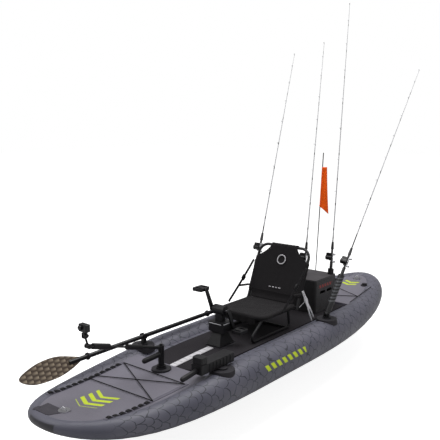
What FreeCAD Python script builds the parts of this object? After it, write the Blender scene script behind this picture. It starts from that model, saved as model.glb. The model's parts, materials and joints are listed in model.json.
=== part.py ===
import FreeCAD, Part
import math
import os

# Inflatable fishing pedal boat. Millimetres. Origin under the middle of the hull,
# bow towards -Y, port side towards +X, +Z up.

Vec = FreeCAD.Vector
UP = Vec(0, 0, 1)
ACROSS = Vec(1, 0, 0)
AFT = Vec(0, 1, 0)

doc = FreeCAD.newDocument("PedalBoat")
sheet = doc.addObject("Spreadsheet::Sheet", "Params")

PARAMS = {
    # hull outline
    "hull_length": 3860, "hull_width": 987, "tube_radius": 121,
    "bow_tip_radius": 38, "stern_tip_radius": 85,
    "bow_fullness": 5.5, "bow_roundness": 2.26,
    "stern_fullness": 2.8, "stern_roundness": 1.9,
    "bow_rise": 142, "bow_rise_power": 4.3,
    "stern_rise": 138, "stern_rise_power": 2.9,
    "taper_start": 0.25, "taper_power": 1.5,
    # decks and floor, as fractions of the local tube radius
    "floor_low_share": 0.12, "floor_top_share": 1.62, "deck_top_share": 1.85,
    "bow_deck_end": -905, "stern_deck_start": 1010,
    "pad_thickness": 8, "pad_front": -900, "pad_side_front": -700, "pad_rear": 1000,
    "pad_half_width": 235, "strip_width": 52, "strip_thickness": 3,
    "strip_front": -890, "strip_rear": -485,
    "patch_thickness": 2.5, "webbing_width": 26, "webbing_thickness": 3,
    "cord_diameter": 6, "cord_lift": 7,
    "well_length": 150, "well_width": 110, "collar_margin": 26, "collar_thickness": 10,
    # mounting bases on the tubes and deck
    "base_radius": 85, "base_thickness": 16,
    "front_base_x": 358, "front_base_y": -800,
    "aft_base_x": 368, "aft_base_y": 490, "bow_base_y": -985, "bow_base_radius": 70,
    # seat
    "seat_half_width": 208, "seat_front": -150, "seat_rear": 290, "seat_level": 368,
    "seat_tube_radius": 12, "seat_corner": 60, "sling_thickness": 5,
    "leg_x": 185, "leg_foot_front": -300, "leg_foot_rear": 235,
    "back_half_width": 235, "back_length": 455, "back_lean": 23, "back_corner": 78,
    "back_tube_radius": 11, "pivot_y": 270, "pivot_radius": 5,
    "strap_width": 25, "strap_thickness": 3,
    # pedal drive
    "drive_y": -380, "axle_level": 455, "axle_radius": 8, "shaft_clearance": 0.05,
    "crank_length": 160, "crank_angle": 23, "crank_offset": 69, "crank_thickness": 14,
    "pedal_length": 100, "pedal_width": 84, "pedal_thickness": 22,
    "head_radius": 36, "head_width": 96, "box_width": 132, "box_length": 116,
    "box_low": 306, "box_top": 376, "column_radius": 27, "column_wall": 4,
    "shaft_radius": 6, "prop_level": -165, "nacelle_radius": 32, "prop_radius": 105,
    "gear_radius": 25, "pinion_radius": 10, "lower_pinion_radius": 16,
    "prop_gear_radius": 10,
    # crate and flag
    "crate_half_width": 170, "crate_front": 645, "crate_rear": 985, "crate_height": 265,
    "crate_wall": 7, "rod_tube_radius": 25, "rod_tube_wall": 4,
    "flag_pole_radius": 4, "flag_top": 1383, "pole_length": 1258,
    # rods
    "rod_grip_radius": 13, "rod_grip_length": 360, "rod_reel_level": 400,
    # paddle
    "paddle_x": -350, "paddle_level": 296, "paddle_tip_front": -1810,
    "paddle_tip_rear": 400, "paddle_shaft_radius": 15, "blade_length": 450,
    "blade_width": 132,
    # camera arm and gear case
    "post_radius": 20, "post_level": 345, "elbow_y": -1578, "elbow_level": 522,
    "lens_y": -1610, "lens_level": 626,
    "case_x": 307, "case_y": -830, "case_width": 90, "case_length": 330,
    "case_low": 246, "case_height": 60, "case_front_height": 104,
}
for row, (alias, value) in enumerate(PARAMS.items(), start=1):
    sheet.set("A%d" % row, alias)
    sheet.set("B%d" % row, str(value))
    sheet.setAlias("B%d" % row, alias)
doc.recompute()


def val(alias):
    """Number held in the sheet."""
    return float(sheet.get(alias))


def ref(alias):
    """Expression that reads the sheet."""
    return "Params." + alias


NODES = {}


def keep(label, obj):
    """Register a document object as an exported sub-part."""
    obj.Label = label
    NODES[label] = obj
    return obj


def keep_shape(label, shape):
    """Sub-part whose surface is computed."""
    obj = doc.addObject("Part::Feature", label)
    obj.Shape = shape
    obj.Placement = shape.Placement
    return keep(label, obj)


def bind_position(obj, x=None, y=None, z=None):
    """Drive a sub-part's position from sheet expressions."""
    for axis, expression in (("x", x), ("y", y), ("z", z)):
        if expression is not None:
            obj.setExpression("Placement.Base." + axis, expression)


# ---------------------------------------------------------------- sketch bodies

def new_body(label):
    body = doc.addObject("PartDesign::Body", label)
    return keep(label, body)


def origin_plane(body, role):
    for feature in body.Origin.OriginFeatures:
        if feature.Role == role:
            return feature
    raise ValueError(role)


def new_sketch(body, role, edges, name="Outline"):
    sketch = body.newObject("Sketcher::SketchObject", name)
    sketch.AttachmentSupport = [(origin_plane(body, role), "")]
    sketch.MapMode = "FlatFace"
    for edge in edges:
        sketch.addGeometry(edge, False)
    return sketch


def polygon(points):
    """Closed chain of straight edges through (u, v) points."""
    corners = [Vec(u, v, 0) for u, v in points]
    pairs = zip(corners, corners[1:] + corners[:1])
    return [Part.LineSegment(a, b) for a, b in pairs]


def rounded_rectangle(width, height, radius, centre=(0, 0)):
    """Edges of a rectangle with round corners, centred on (u, v)."""
    cu, cv = centre
    a = width / 2 - radius
    b = height / 2 - radius
    edges = []
    corners = [(a, b), (-a, b), (-a, -b), (a, -b)]
    for i, (u, v) in enumerate(corners):
        start = i * math.pi / 2
        circle = Part.Circle(Vec(cu + u, cv + v, 0), UP, radius)
        edges.append(Part.ArcOfCircle(circle, start, start + math.pi / 2))
        after = corners[(i + 1) % 4]
        turn = start + math.pi / 2
        du = radius * math.cos(turn)
        dv = radius * math.sin(turn)
        edges.append(Part.LineSegment(Vec(cu + u + du, cv + v + dv, 0),
                                      Vec(cu + after[0] + du, cv + after[1] + dv, 0)))
    return edges


def circle_edges(radius, centre=(0, 0)):
    return [Part.Circle(Vec(centre[0], centre[1], 0), UP, radius)]


def pad(body, sketch, length, symmetric=False, reverse=False):
    feature = body.newObject("PartDesign::Pad", "Pad")
    feature.Profile = sketch
    feature.setExpression("Length", length)
    if symmetric:
        feature.Midplane = True
    feature.Reversed = reverse
    sketch.Visibility = False
    return feature


def pocket(body, sketch, length, symmetric=False, reverse=False):
    feature = body.newObject("PartDesign::Pocket", "Pocket")
    feature.Profile = sketch
    feature.setExpression("Length", length)
    if symmetric:
        feature.Midplane = True
    feature.Reversed = reverse
    return feature


def revolve(body, sketch, axis="V_Axis"):
    feature = body.newObject("PartDesign::Revolution", "Revolution")
    feature.Profile = sketch
    feature.ReferenceAxis = (sketch, [axis])
    feature.Angle = 360
    return feature


# ---------------------------------------------------------------- shape helpers

def cylinder(radius, start, end):
    return Part.makeCylinder(radius, (end - start).Length, start, end - start)


def tube_between(outer, inner, start, end):
    return cylinder(outer, start, end).cut(cylinder(inner, start, end))


def rounded_path(points, bend):
    """Wire through points with every inner corner rounded to the bend radius."""
    edges = []
    previous = points[0]
    for before, corner, after in zip(points, points[1:], points[2:]):
        u = (before - corner).normalize()
        v = (after - corner).normalize()
        half = u.getAngle(v) / 2
        reach = bend / math.tan(half)
        start = corner + u * reach
        end = corner + v * reach
        towards = (u + v).normalize()
        middle = corner + towards * (bend / math.sin(half) - bend)
        edges.append(Part.LineSegment(previous, start).toShape())
        edges.append(Part.Arc(start, middle, end).toShape())
        previous = end
    edges.append(Part.LineSegment(previous, points[-1]).toShape())
    return Part.Wire(edges)


def bent_tube(points, radius, bend):
    """Round bar that follows a path with rounded corners."""
    path = rounded_path(points, bend)
    heading = points[1] - points[0]
    ring = Part.Wire([Part.makeCircle(radius, points[0], heading)])
    return path.makePipeShell([ring], True, True)


def closed_tube_loop(width, length, corner, radius, centre):
    """Round bar bent into a flat rounded rectangle, made of four equal quarters' worth
    of straight and bent runs joined end to end."""
    a = width / 2 - corner
    b = length / 2 - corner
    pieces = []
    for sx in (1, -1):
        side = Vec(sx * width / 2, 0, 0)
        pieces.append(cylinder(radius, side - AFT * b, side + AFT * b))
    for sy in (1, -1):
        end = Vec(0, sy * length / 2, 0)
        pieces.append(cylinder(radius, end - ACROSS * a, end + ACROSS * a))
    for sx in (1, -1):
        for sy in (1, -1):
            torus = Part.makeTorus(corner, radius, Vec(sx * a, sy * b, 0), UP)
            reach = corner + 2 * radius
            quadrant = Part.makeBox(reach, reach, 4 * radius,
                                    Vec(sx * a if sx > 0 else -a - reach,
                                        sy * b if sy > 0 else -b - reach, -2 * radius))
            pieces.append(torus.common(quadrant))
    loop = pieces[0].multiFuse(pieces[1:]).removeSplitter()
    loop.translate(centre)
    return loop


def band(points, width, thickness, across):
    """Flat strap along straight runs; across is the direction of its width."""
    parts = []
    for start, end in zip(points, points[1:]):
        along = (end - start).normalize()
        normal = along.cross(across).normalize()
        side = across * (width / 2)
        low = normal * (-thickness / 2)
        corners = [start - side + low, start + side + low, end + side + low, end - side + low]
        face = Part.Face(Part.makePolygon(corners + corners[:1]))
        parts.append(face.extrude(normal * thickness))
    return parts[0] if len(parts) == 1 else parts[0].multiFuse(parts[1:])


def largest_solid(shape):
    return max(shape.Solids, key=lambda solid: solid.Volume)


def piece_at(shape, point):
    """The one solid of a cut shape that holds a point."""
    for solid in shape.Solids:
        if solid.isInside(point, 0.01, True):
            return solid
    raise ValueError("no piece at %s" % point)


def tilted(shape, origin, lean_aft, lean_port):
    """Turn a shape built along +Z so that it leans aft and to port about origin."""
    moved = shape.copy()
    rotation = FreeCAD.Rotation(AFT, lean_port).multiply(FreeCAD.Rotation(ACROSS, -lean_aft))
    moved.Placement = FreeCAD.Placement(origin, rotation)
    return moved


# ---------------------------------------------------------------- hull form

def half_length(stern):
    tip = val("stern_tip_radius") if stern else val("bow_tip_radius")
    return val("hull_length") / 2 - tip


def hull_share(y):
    """How far y lies towards the nearer tip of the tube centre line, 0 to 1."""
    return min(abs(y) / half_length(y > 0), 1.0)


def tube_radius_at(share, stern):
    tip = val("stern_tip_radius") if stern else val("bow_tip_radius")
    reach = max(0.0, (share - val("taper_start")) / (1 - val("taper_start")))
    return val("tube_radius") - (val("tube_radius") - tip) * reach ** val("taper_power")


def keel_rise(share, stern):
    if stern:
        return val("stern_rise") * share ** val("stern_rise_power")
    return val("bow_rise") * share ** val("bow_rise_power")


def axis_half_width(share, stern):
    prefix = "stern" if stern else "bow"
    reach = 1 - share ** val(prefix + "_fullness")
    widest = val("hull_width") / 2 - val("tube_radius")
    return widest * max(reach, 0.0) ** (1 / val(prefix + "_roundness"))


def level(y, radii):
    """Height at y of a surface that lies so many tube radii above the keel line."""
    share = hull_share(y)
    return keel_rise(share, y > 0) + radii * tube_radius_at(share, y > 0)


def tube_top(y):
    return level(y, 2.0)


def axis_x(y):
    return axis_half_width(hull_share(y), y > 0)


TIP_ANGLES = (2, 5, 9, 14, 20, 26, 33, 40, 47, 54, 61, 67, 73, 78, 82, 86, 90)


def tube_stations():
    """(share, stern) stations, close together where the outline turns."""
    stations = []
    for angle in reversed(TIP_ANGLES):
        share = math.sin(math.radians(angle)) ** (2 / val("bow_fullness"))
        stations.append((share, False))
    stations.append((0.0, False))
    for angle in TIP_ANGLES:
        share = math.sin(math.radians(angle)) ** (2 / val("stern_fullness"))
        stations.append((share, True))
    return stations


def side_tube(extra=0.0):
    """One port-side tube from the bow tip to the stern tip, its skin grown by extra."""
    centres = []
    radii = []
    for share, stern in tube_stations():
        radius = tube_radius_at(share, stern)
        y = share * half_length(stern) * (1 if stern else -1)
        x = 0.0 if share > 0.99999 else axis_half_width(share, stern)
        centres.append(Vec(x, y, keel_rise(share, stern) + radius))
        radii.append(radius + extra)
    rings = []
    for i, (centre, radius) in enumerate(zip(centres, radii)):
        if i == 0:
            along = Vec(1, 0, 0)
        elif i == len(centres) - 1:
            along = Vec(-1, 0, 0)
        else:
            along = (centres[i + 1] - centres[i - 1]).normalize()
        outward = along.cross(UP).normalize()
        ring = Part.Wire([Part.makeCircle(radius)])
        top = outward.cross(along).normalize()
        turn = FreeCAD.Rotation(top, along.cross(top), along, "ZXY")
        ring.Placement = FreeCAD.Placement(centre, turn)
        rings.append(ring)
    return Part.makeLoft(rings, True, True)


def mirrored(shape):
    return shape.mirror(Vec(0, 0, 0), ACROSS)


def hull_slab(stations, low_share, top_share, width_share=1.0):
    """Layer between the side tubes that follows the keel line."""
    sections = []
    for y in stations:
        half = axis_x(y) * width_share
        low = level(y, low_share)
        top = level(y, top_share)
        corners = [Vec(-half, y, low), Vec(half, y, low), Vec(half, y, top), Vec(-half, y, top)]
        sections.append(Part.makePolygon(corners + corners[:1]))
    return Part.makeLoft(sections, True, True)


def slab_stations(start, end):
    """Stations between two fractions of the half length, -1 the bow tip, 1 the stern tip."""
    stations = []
    for i in range(17):
        share = start + (end - start) * i / 16
        stern = share > 0
        stations.append(math.copysign(abs(share) ** 0.8, share) * half_length(stern))
    return stations


PORT_TUBE = side_tube()
STARBOARD_TUBE = mirrored(PORT_TUBE)
PORT_SKIN = side_tube(val("patch_thickness"))
STARBOARD_SKIN = mirrored(PORT_SKIN)


def between_tubes(slab, probe):
    """The part of a slab left between the two side tubes."""
    inner = piece_at(slab.cut(PORT_TUBE), probe)
    return piece_at(inner.cut(STARBOARD_TUBE), probe)


def well_box(grow=0.0):
    """Upright opening through the hull for the pedal drive."""
    width = val("well_width") + 2 * grow
    length = val("well_length") + 2 * grow
    box = Part.makeBox(width, length, 600, Vec(-width / 2, val("drive_y") - length / 2, -200))
    return box.makeFillet(20 + grow, [e for e in box.Edges if abs(e.tangentAt(0).z) > 0.99])


def build_tubes():
    keep_shape("port_side_tube", PORT_TUBE)
    keep_shape("starboard_side_tube", STARBOARD_TUBE)


def build_floor():
    slab = hull_slab(slab_stations(-0.985, 0.94), val("floor_low_share"), val("floor_top_share"))
    middle = Vec(0, 0, val("tube_radius"))
    floor = piece_at(between_tubes(slab, middle).cut(well_box()), middle)
    keep_shape("floor_chamber", floor)
    return floor


FLOOR = build_floor()
build_tubes()


def deck_shape(start_y, end_y):
    """Deck panel over the floor chamber between two stations."""
    low = val("floor_top_share") - 0.3
    stations = [start_y + (end_y - start_y) * i / 12 for i in range(13)]
    slab = hull_slab(stations, low, val("deck_top_share"))
    y = (start_y + end_y) / 2
    probe = Vec(0, y, level(y, val("deck_top_share")) - 4)
    return piece_at(between_tubes(slab, probe).cut(FLOOR), probe)


BOW_DECK = deck_shape(-half_length(False) * 0.994, val("bow_deck_end"))
STERN_DECK = deck_shape(val("stern_deck_start"), half_length(True) * 0.99)
keep_shape("bow_deck_panel", BOW_DECK)
keep_shape("stern_deck_panel", STERN_DECK)
HULL = [PORT_TUBE, STARBOARD_TUBE, FLOOR, BOW_DECK, STERN_DECK]


def seat_on_hull(shape):
    """Trim whatever of a shape lies inside the hull chambers, keeping the piece on top."""
    for chamber in HULL:
        if shape.BoundBox.intersect(chamber.BoundBox):
            pieces = shape.cut(chamber).Solids
            shape = max(pieces, key=lambda solid: solid.BoundBox.ZMax)
    return shape


def prism(points, low, high):
    corners = [Vec(x, y, low) for x, y in points]
    return Part.Face(Part.makePolygon(corners + corners[:1])).extrude(UP * (high - low))


def build_nose_patches():
    """Wear patch over the top of the nose and rubbing patch under it."""
    grown_deck = hull_slab([-half_length(False) * 0.994, -1800, -1700, -1600, -1500],
                           1.0, val("deck_top_share"))
    grown_deck.translate(UP * val("patch_thickness"))
    outline = [(-125, -1880), (-5, -1880), (25, -1755), (-155, -1755)]
    block = prism(outline, 170, 400)
    layers = [block.common(layer) for layer in (PORT_SKIN, STARBOARD_SKIN, grown_deck)]
    keep_shape("nose_patches", seat_on_hull(layers[0].multiFuse(layers[1:])))


def build_cockpit_pad():
    """Foam floor pad with an arched front edge, cut out around the drive well."""
    half = val("pad_half_width")
    side_front = val("pad_side_front")
    rear = val("pad_rear")
    low = level(side_front, val("floor_top_share")) - 40
    top = level(0, val("floor_top_share")) + 60
    left = Vec(-half, side_front, low)
    right = Vec(half, side_front, low)
    arch = Part.Arc(left, Vec(0, val("pad_front"), low), right).toShape()
    edges = [arch,
             Part.LineSegment(right, Vec(half, rear, low)).toShape(),
             Part.LineSegment(Vec(half, rear, low), Vec(-half, rear, low)).toShape(),
             Part.LineSegment(Vec(-half, rear, low), left).toShape()]
    block = Part.Face(Part.Wire(edges)).extrude(UP * (top - low))
    layer = hull_slab([-1150, -950, -800, -650, -500, -350, -150, 0, 200, 400, 600, 800, 1000],
                      1.2, val("floor_top_share"))
    layer.translate(UP * val("pad_thickness"))
    sheet_shape = layer.common(block)
    shape = (seat_on_hull(sheet_shape).cut(well_box(val("collar_margin") + 1)))
    keep_shape("cockpit_pad", shape)
    return shape


PAD = build_cockpit_pad()


def floor_level(y):
    return level(y, val("floor_top_share")) + val("pad_thickness")


def build_measuring_strip():
    """Flat ruled strip along the middle of the floor pad."""
    width = val("strip_width")
    block = Part.makeBox(width, val("strip_rear") - val("strip_front"), 80,
                         Vec(-width / 2, val("strip_front"), 150))
    layer = hull_slab([-1150, -950, -800, -650, -500, -350, -150], 1.2, val("floor_top_share"))
    layer.translate(UP * (val("pad_thickness") + val("strip_thickness")))
    keep_shape("measuring_strip", seat_on_hull(layer.common(block)).cut(PAD))


def valve(position):
    flange = Part.makeCylinder(34, 24, position - UP * 18)
    cap = Part.makeCylinder(22, 16, position + UP * 4)
    return flange.fuse(cap)


def build_valves():
    valves = []
    for x, y in ((150, 1560), (-150, 1560), (-110, 1135)):
        valves.append((seat_on_hull(valve(Vec(x, y, level(y, val("deck_top_share")))))))
    keep_shape("inflation_valves", Part.makeCompound(valves))


def build_tow_rings():
    """Stainless D rings standing on round pads, one at each end."""
    rings = []
    for y in (-1760, 1700):
        top = level(y, val("deck_top_share"))
        bar = Part.makeTorus(19, 3, Vec(0, y, top + 12), Vec(0, 1, 0.6))
        loop = Part.makeBox(18, 26, 9, Vec(-9, y - 13, top - 4))
        disc = Part.makeCylinder(34, 12, Vec(0, y, top - 5))
        rings.append((seat_on_hull(disc.fuse([bar, loop]).cut(NODES["nose_patches"].Shape))))
    keep_shape("tow_rings", Part.makeCompound(rings))


def webbing_path(side):
    rear = Vec(side * 283, -1052, 0)
    front = Vec(side * 258, -1690, 0)
    return rear, front


def build_webbing():
    """Daisy-chain webbing on the inner shoulder of each tube beside the bow deck."""
    grown = hull_slab([-1890, -1800, -1650, -1500, -1350, -1200, -1000], 1.0,
                      val("deck_top_share"))
    grown.translate(UP * val("patch_thickness"))
    strips = []
    for side, skin in ((1, PORT_SKIN), (-1, STARBOARD_SKIN)):
        rear, front = webbing_path(side)
        half = ACROSS * (val("webbing_width") / 2)
        outline = [rear - half, rear + half, front + half, front - half]
        slab = prism([(p.x, p.y) for p in outline], 120, 420)
        strips.append(seat_on_hull(slab.common(skin).fuse(slab.common(grown))))
    keep_shape("bow_webbing", Part.makeCompound(strips))


def deck_point(x, y, lift):
    """Point on the hull's upper side above (x, y)."""
    share = hull_share(y)
    radius = tube_radius_at(share, y > 0)
    offset = min(abs(abs(x) - axis_x(y)), radius)
    on_tube = keel_rise(share, y > 0) + radius + math.sqrt(radius ** 2 - offset ** 2)
    return Vec(x, y, max(on_tube, level(y, val("deck_top_share"))) + lift)


def cord(points):
    """Elastic cord in straight pulls between its anchor loops."""
    radius = val("cord_diameter") / 2
    runs = [cylinder(radius, a, b) for a, b in zip(points, points[1:])]
    joints = [Part.makeSphere(radius, p) for p in points]
    return runs[0].multiFuse(runs[1:] + joints)


def build_bungees():
    """Crossed elastic cords over the bow and stern decks."""
    bow = [(-270, -1312), (280, -1069), (-270, -1063), (280, -1346), (-270, -1361)]
    stern = [(-250, 1000), (252, 1230), (-250, 1440)]
    stern_side = [(278, 1040), (246, 1500)]
    cords = [cord([deck_point(x, y, val("cord_lift")) for x, y in places])
             for places in (bow, stern, stern_side)]
    keep_shape("bungee_cords", Part.makeCompound(cords))


def base_positions():
    bow = (0.0, val("bow_base_y"))
    front = [(side * val("front_base_x"), val("front_base_y")) for side in (1, -1)]
    aft = [(side * val("aft_base_x"), val("aft_base_y")) for side in (1, -1)]
    return [bow] + front + aft


def base_top(x, y):
    return (level(y, val("deck_top_share")) if x == 0 else tube_top(y)) + 9


def build_mount_bases():
    """Round moulded bases bonded to the tubes and the bow deck, four holes each."""
    bases = []
    for x, y in base_positions():
        top = base_top(x, y)
        wide = val("bow_base_radius") if x == 0 else val("base_radius")
        disc = Part.makeCone(wide, wide - 6, 40, Vec(x, y, top - 40))
        boss = Part.makeCylinder(34, 10, Vec(x, y, top - 1))
        base = disc.fuse(boss)
        for turn in range(4):
            angle = math.radians(45 + 90 * turn)
            hole = Vec(x + 58 * math.cos(angle), y + 58 * math.sin(angle), top - 8)
            base = base.cut(Part.makeCylinder(3, 40, hole))
        bases.append((seat_on_hull(base)))
    keep_shape("mount_bases", Part.makeCompound(bases))


def build_well_collar():
    """Moulded frame that lines the top of the drive well."""
    y = val("drive_y")
    low = level(y, val("floor_top_share"))
    margin = val("collar_margin")
    outer = well_box(margin).common(Part.makeBox(900, 900, val("collar_thickness") + 30,
                                                 Vec(-450, y - 450, low - 30)))
    inner = well_box(-6)
    shape = (seat_on_hull(outer.cut(inner)))
    skirt = well_box(-0.5).cut(well_box(-6)).common(
        Part.makeBox(900, 900, 120, Vec(-450, y - 450, low - 120 + 1)))
    keep_shape("drive_well_collar", shape.fuse(skirt).removeSplitter())


build_nose_patches()
build_measuring_strip()
build_valves()
build_tow_rings()
build_webbing()
build_bungees()
build_mount_bases()
build_well_collar()


# ---------------------------------------------------------------- seat

def seat_floor():
    return max(floor_level(val("leg_foot_front")), floor_level(val("leg_foot_rear"))) + 0.2


def build_seat_base():
    """Welded seat loop with pivot studs at its rear corners."""
    half = val("seat_half_width")
    middle = Vec(0, (val("seat_front") + val("seat_rear")) / 2, val("seat_level"))
    loop = closed_tube_loop(2 * half, val("seat_rear") - val("seat_front"), val("seat_corner"),
                            val("seat_tube_radius"), middle)
    cross = Vec(half, 60, val("seat_level"))
    loop = loop.fuse(cylinder(8, Vec(-half, 60, cross.z), cross))
    outer = val("back_half_width") + val("back_tube_radius") + 3
    studs = []
    for side in (1, -1):
        start = Vec(side * half, val("pivot_y"), val("seat_level"))
        end = Vec(side * outer, val("pivot_y"), val("seat_level"))
        studs.append(cylinder(val("pivot_radius"), start, end))
    frame = loop.multiFuse(studs).removeSplitter()
    keep_shape("seat_base_frame", frame)
    return frame


def build_seat_legs(base):
    """Two floor runners with raked legs, joined across the front."""
    radius = 10
    foot = seat_floor() + radius
    top = val("seat_level")
    sides = []
    for side in (1, -1):
        x = side * val("leg_x")
        path = [Vec(x, -110, top - 4), Vec(x, val("leg_foot_front"), foot),
                Vec(x, val("leg_foot_rear"), foot), Vec(x, 215, top - 4)]
        head = Vec(side * val("seat_half_width"), 0, top)
        leg = bent_tube(path, radius, 28)
        lugs = [cylinder(radius - 2, Vec(x, y, top - 4), Vec(head.x, y, top - 2))
                for y in (-110, 215)]
        sides.append(leg.multiFuse(lugs))
    lip = 36
    runs = [cylinder(radius - 1, Vec(-val("leg_x"), y, foot + rise),
                     Vec(val("leg_x"), y, foot + rise))
            for y, rise in ((val("leg_foot_front") + lip, 0), (val("leg_foot_rear") - lip, 0))]
    frame = sides[0].multiFuse(sides[1:] + runs).cut(base)
    keep_shape("seat_leg_frame", largest_solid(frame))


def build_seat_sling():
    """Fabric seat panel stretched over the loop."""
    body = new_body("seat_sling")
    length = val("seat_rear") - val("seat_front") + 26
    edges = rounded_rectangle(2 * val("seat_half_width") + 22, length, val("seat_corner"))
    pad(body, new_sketch(body, "XY_Plane", edges), ref("sling_thickness"))
    bind_position(body, y="(Params.seat_front + Params.seat_rear) / 2",
                  z="Params.seat_level + Params.seat_tube_radius + 0.2")


def along_back(distance, offset=0.0, x=0.0):
    """Point in the plane of the back rest: distance up the legs, offset towards the bow."""
    lean = math.radians(val("back_lean"))
    y = val("pivot_y") + distance * math.sin(lean) - offset * math.cos(lean)
    z = val("seat_level") + distance * math.cos(lean) + offset * math.sin(lean)
    return Vec(x, y, z)


def build_seat_back():
    """Bent back hoop that turns on the seat's pivot studs."""
    half = val("back_half_width")
    radius = val("back_tube_radius")
    top = val("back_length")
    points = [along_back(-22, 0, half), along_back(top, 0, half),
              along_back(top, 0, -half), along_back(-22, 0, -half)]
    hoop = bent_tube(points, radius, val("back_corner"))
    bar = cylinder(7, along_back(95, 0, -half), along_back(95, 0, half))
    hoop = hoop.fuse(bar)
    bore = val("pivot_radius") + val("shaft_clearance")
    pivot = Vec(0, val("pivot_y"), val("seat_level"))
    hoop = hoop.cut(cylinder(bore, pivot - ACROSS * 400, pivot + ACROSS * 400))
    keep_shape("seat_back_frame", hoop)


def build_back_fabric():
    """Back panel in front of the hoop, its upper corners cut away."""
    half = val("back_half_width") - 6
    low, top, cut = 70, val("back_length") + 6, 98
    offset = val("back_tube_radius") + 0.3
    outline = [(-half, low), (half, low), (half, top - cut), (half - cut, top),
               (cut - half, top), (-half, top - cut)]
    corners = [along_back(v, offset, u) for u, v in outline]
    face = Part.Face(Part.makePolygon(corners + corners[:1]))
    towards_bow = along_back(0, 1) - along_back(0, 0)
    keep_shape("seat_back_fabric", face.extrude(towards_bow * 5))


def build_seat_straps():
    """Webbing from the hoop down to the seat rails, and a short side pad on each side."""
    straps = []
    width = val("strap_width")
    for side in (1, -1):
        x = side * (val("back_half_width") + val("back_tube_radius") + 6)
        upper = along_back(300, 26, x)
        lower = Vec(x, 30, val("seat_level") + 8)
        run = (upper - lower).normalize()
        across = run.cross(ACROSS)
        straps.append(band([lower, upper], width, val("strap_thickness"), across))
        middle = lower + (upper - lower) * 0.36
        pad_rear = along_back(95, 14, x)
        pad_front = Vec(x, middle.y + 26, middle.z + 4)
        straps.append(band([pad_rear, pad_front], 30, 9, UP))
    keep_shape("seat_straps", Part.makeCompound(straps))


BASE = build_seat_base()
build_seat_legs(BASE)
build_seat_sling()
build_seat_back()
build_back_fabric()
build_seat_straps()


# ---------------------------------------------------------------- pedal drive

def axle_centre():
    return Vec(0, val("drive_y"), val("axle_level"))


def build_drive_head():
    """Upper gear casing round the crank axle, on a neck that plugs into the drive box."""
    body = new_body("drive_head")
    drum = new_sketch(body, "YZ_Plane", circle_edges(val("head_radius")), "Drum")
    pad(body, drum, ref("head_width"), symmetric=True)
    drop = val("axle_level") - val("box_top")
    neck = new_sketch(body, "XY_Plane", rounded_rectangle(60, 56, 10), "Neck")
    pad(body, neck, "Params.axle_level - Params.box_top", reverse=True)
    cavity = new_sketch(body, "YZ_Plane", circle_edges(val("gear_radius") + 4), "Cavity")
    pocket(body, cavity, "Params.head_width - 16", symmetric=True)
    bore = new_sketch(body, "YZ_Plane",
                      circle_edges(val("axle_radius") + val("shaft_clearance")), "AxleBore")
    pocket(body, bore, "Params.head_width + 4", symmetric=True)
    shaft = new_sketch(body, "XY_Plane",
                       circle_edges(val("shaft_radius") + val("shaft_clearance")), "ShaftBore")
    pocket(body, shaft, "%g mm" % (drop + 2))
    bind_position(body, y=ref("drive_y"), z=ref("axle_level"))


def build_drive_box():
    """Moulded box under the head, with two raised trim strips round its top."""
    body = new_body("drive_box")
    outer = rounded_rectangle(val("box_width"), val("box_length"), 10)
    pad(body, new_sketch(body, "XY_Plane", outer, "Walls"), "Params.box_top - Params.box_low")
    hole = new_sketch(body, "XY_Plane", circle_edges(val("column_radius") - 6), "Through")
    pocket(body, hole, "400 mm", symmetric=True)
    bind_position(body, y=ref("drive_y"), z=ref("box_low"))


def rectangle_wire(x, y, width, length, height):
    corners = [Vec(x + u * width / 2, y + v * length / 2, height)
               for u, v in ((-1, -1), (1, -1), (1, 1), (-1, 1))]
    return Part.makePolygon(corners + corners[:1])


def build_drive_column():
    """Hollow column through the drive well, with the flange that sits on the well collar."""
    y = val("drive_y")
    low = Vec(0, y, val("prop_level") + val("nacelle_radius") - 6)
    top = Vec(0, y, val("box_low"))
    radius = val("column_radius")
    column = cylinder(radius, low, top)
    flange_low = level(y, val("floor_top_share")) + val("collar_thickness")
    flange = Part.makeBox(val("well_width") + 22, val("well_length") + 22, 7,
                          Vec(-val("well_width") / 2 - 11, y - val("well_length") / 2 - 11,
                              flange_low))
    pedestal = Part.makeLoft([rectangle_wire(0, y, 122, 162, flange_low + 6),
                              rectangle_wire(0, y, 64, 64, val("box_low"))], True, True)
    bore = cylinder(radius - val("column_wall"), low - UP, top + UP)
    column = column.multiFuse([flange, pedestal]).cut(bore)
    collar = NODES["drive_well_collar"].Shape
    keep_shape("drive_column", largest_solid(column.cut(collar)))


def build_lower_unit():
    """Torpedo-shaped gear nacelle under the column, bored for the propeller shaft."""
    centre = Vec(0, val("drive_y"), val("prop_level"))
    radius = val("nacelle_radius")
    length = 150
    barrel = cylinder(radius, centre - AFT * length / 2, centre + AFT * length / 2)
    nose = Part.makeSphere(radius, centre - AFT * length / 2)
    shape = barrel.fuse(nose)
    cavity = cylinder(radius - 7, centre - AFT * (length / 2 - 8), centre + AFT * (length / 2 - 9))
    bore = cylinder(val("axle_radius") + val("shaft_clearance"), centre,
                    centre + AFT * (length / 2 + 5))
    well = cylinder(val("column_radius") - val("column_wall"), centre, centre + UP * 80)
    skeg = prism([(-3, val("drive_y") - 30), (3, val("drive_y") - 30),
                  (3, val("drive_y") + 60), (-3, val("drive_y") + 60)],
                 val("prop_level") - radius - 40, val("prop_level") - radius + 6)
    shape = shape.fuse(skeg).cut(cavity).cut(bore).cut(well)
    column = NODES["drive_column"].Shape
    keep_shape("lower_unit", largest_solid(shape.cut(column)))


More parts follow.
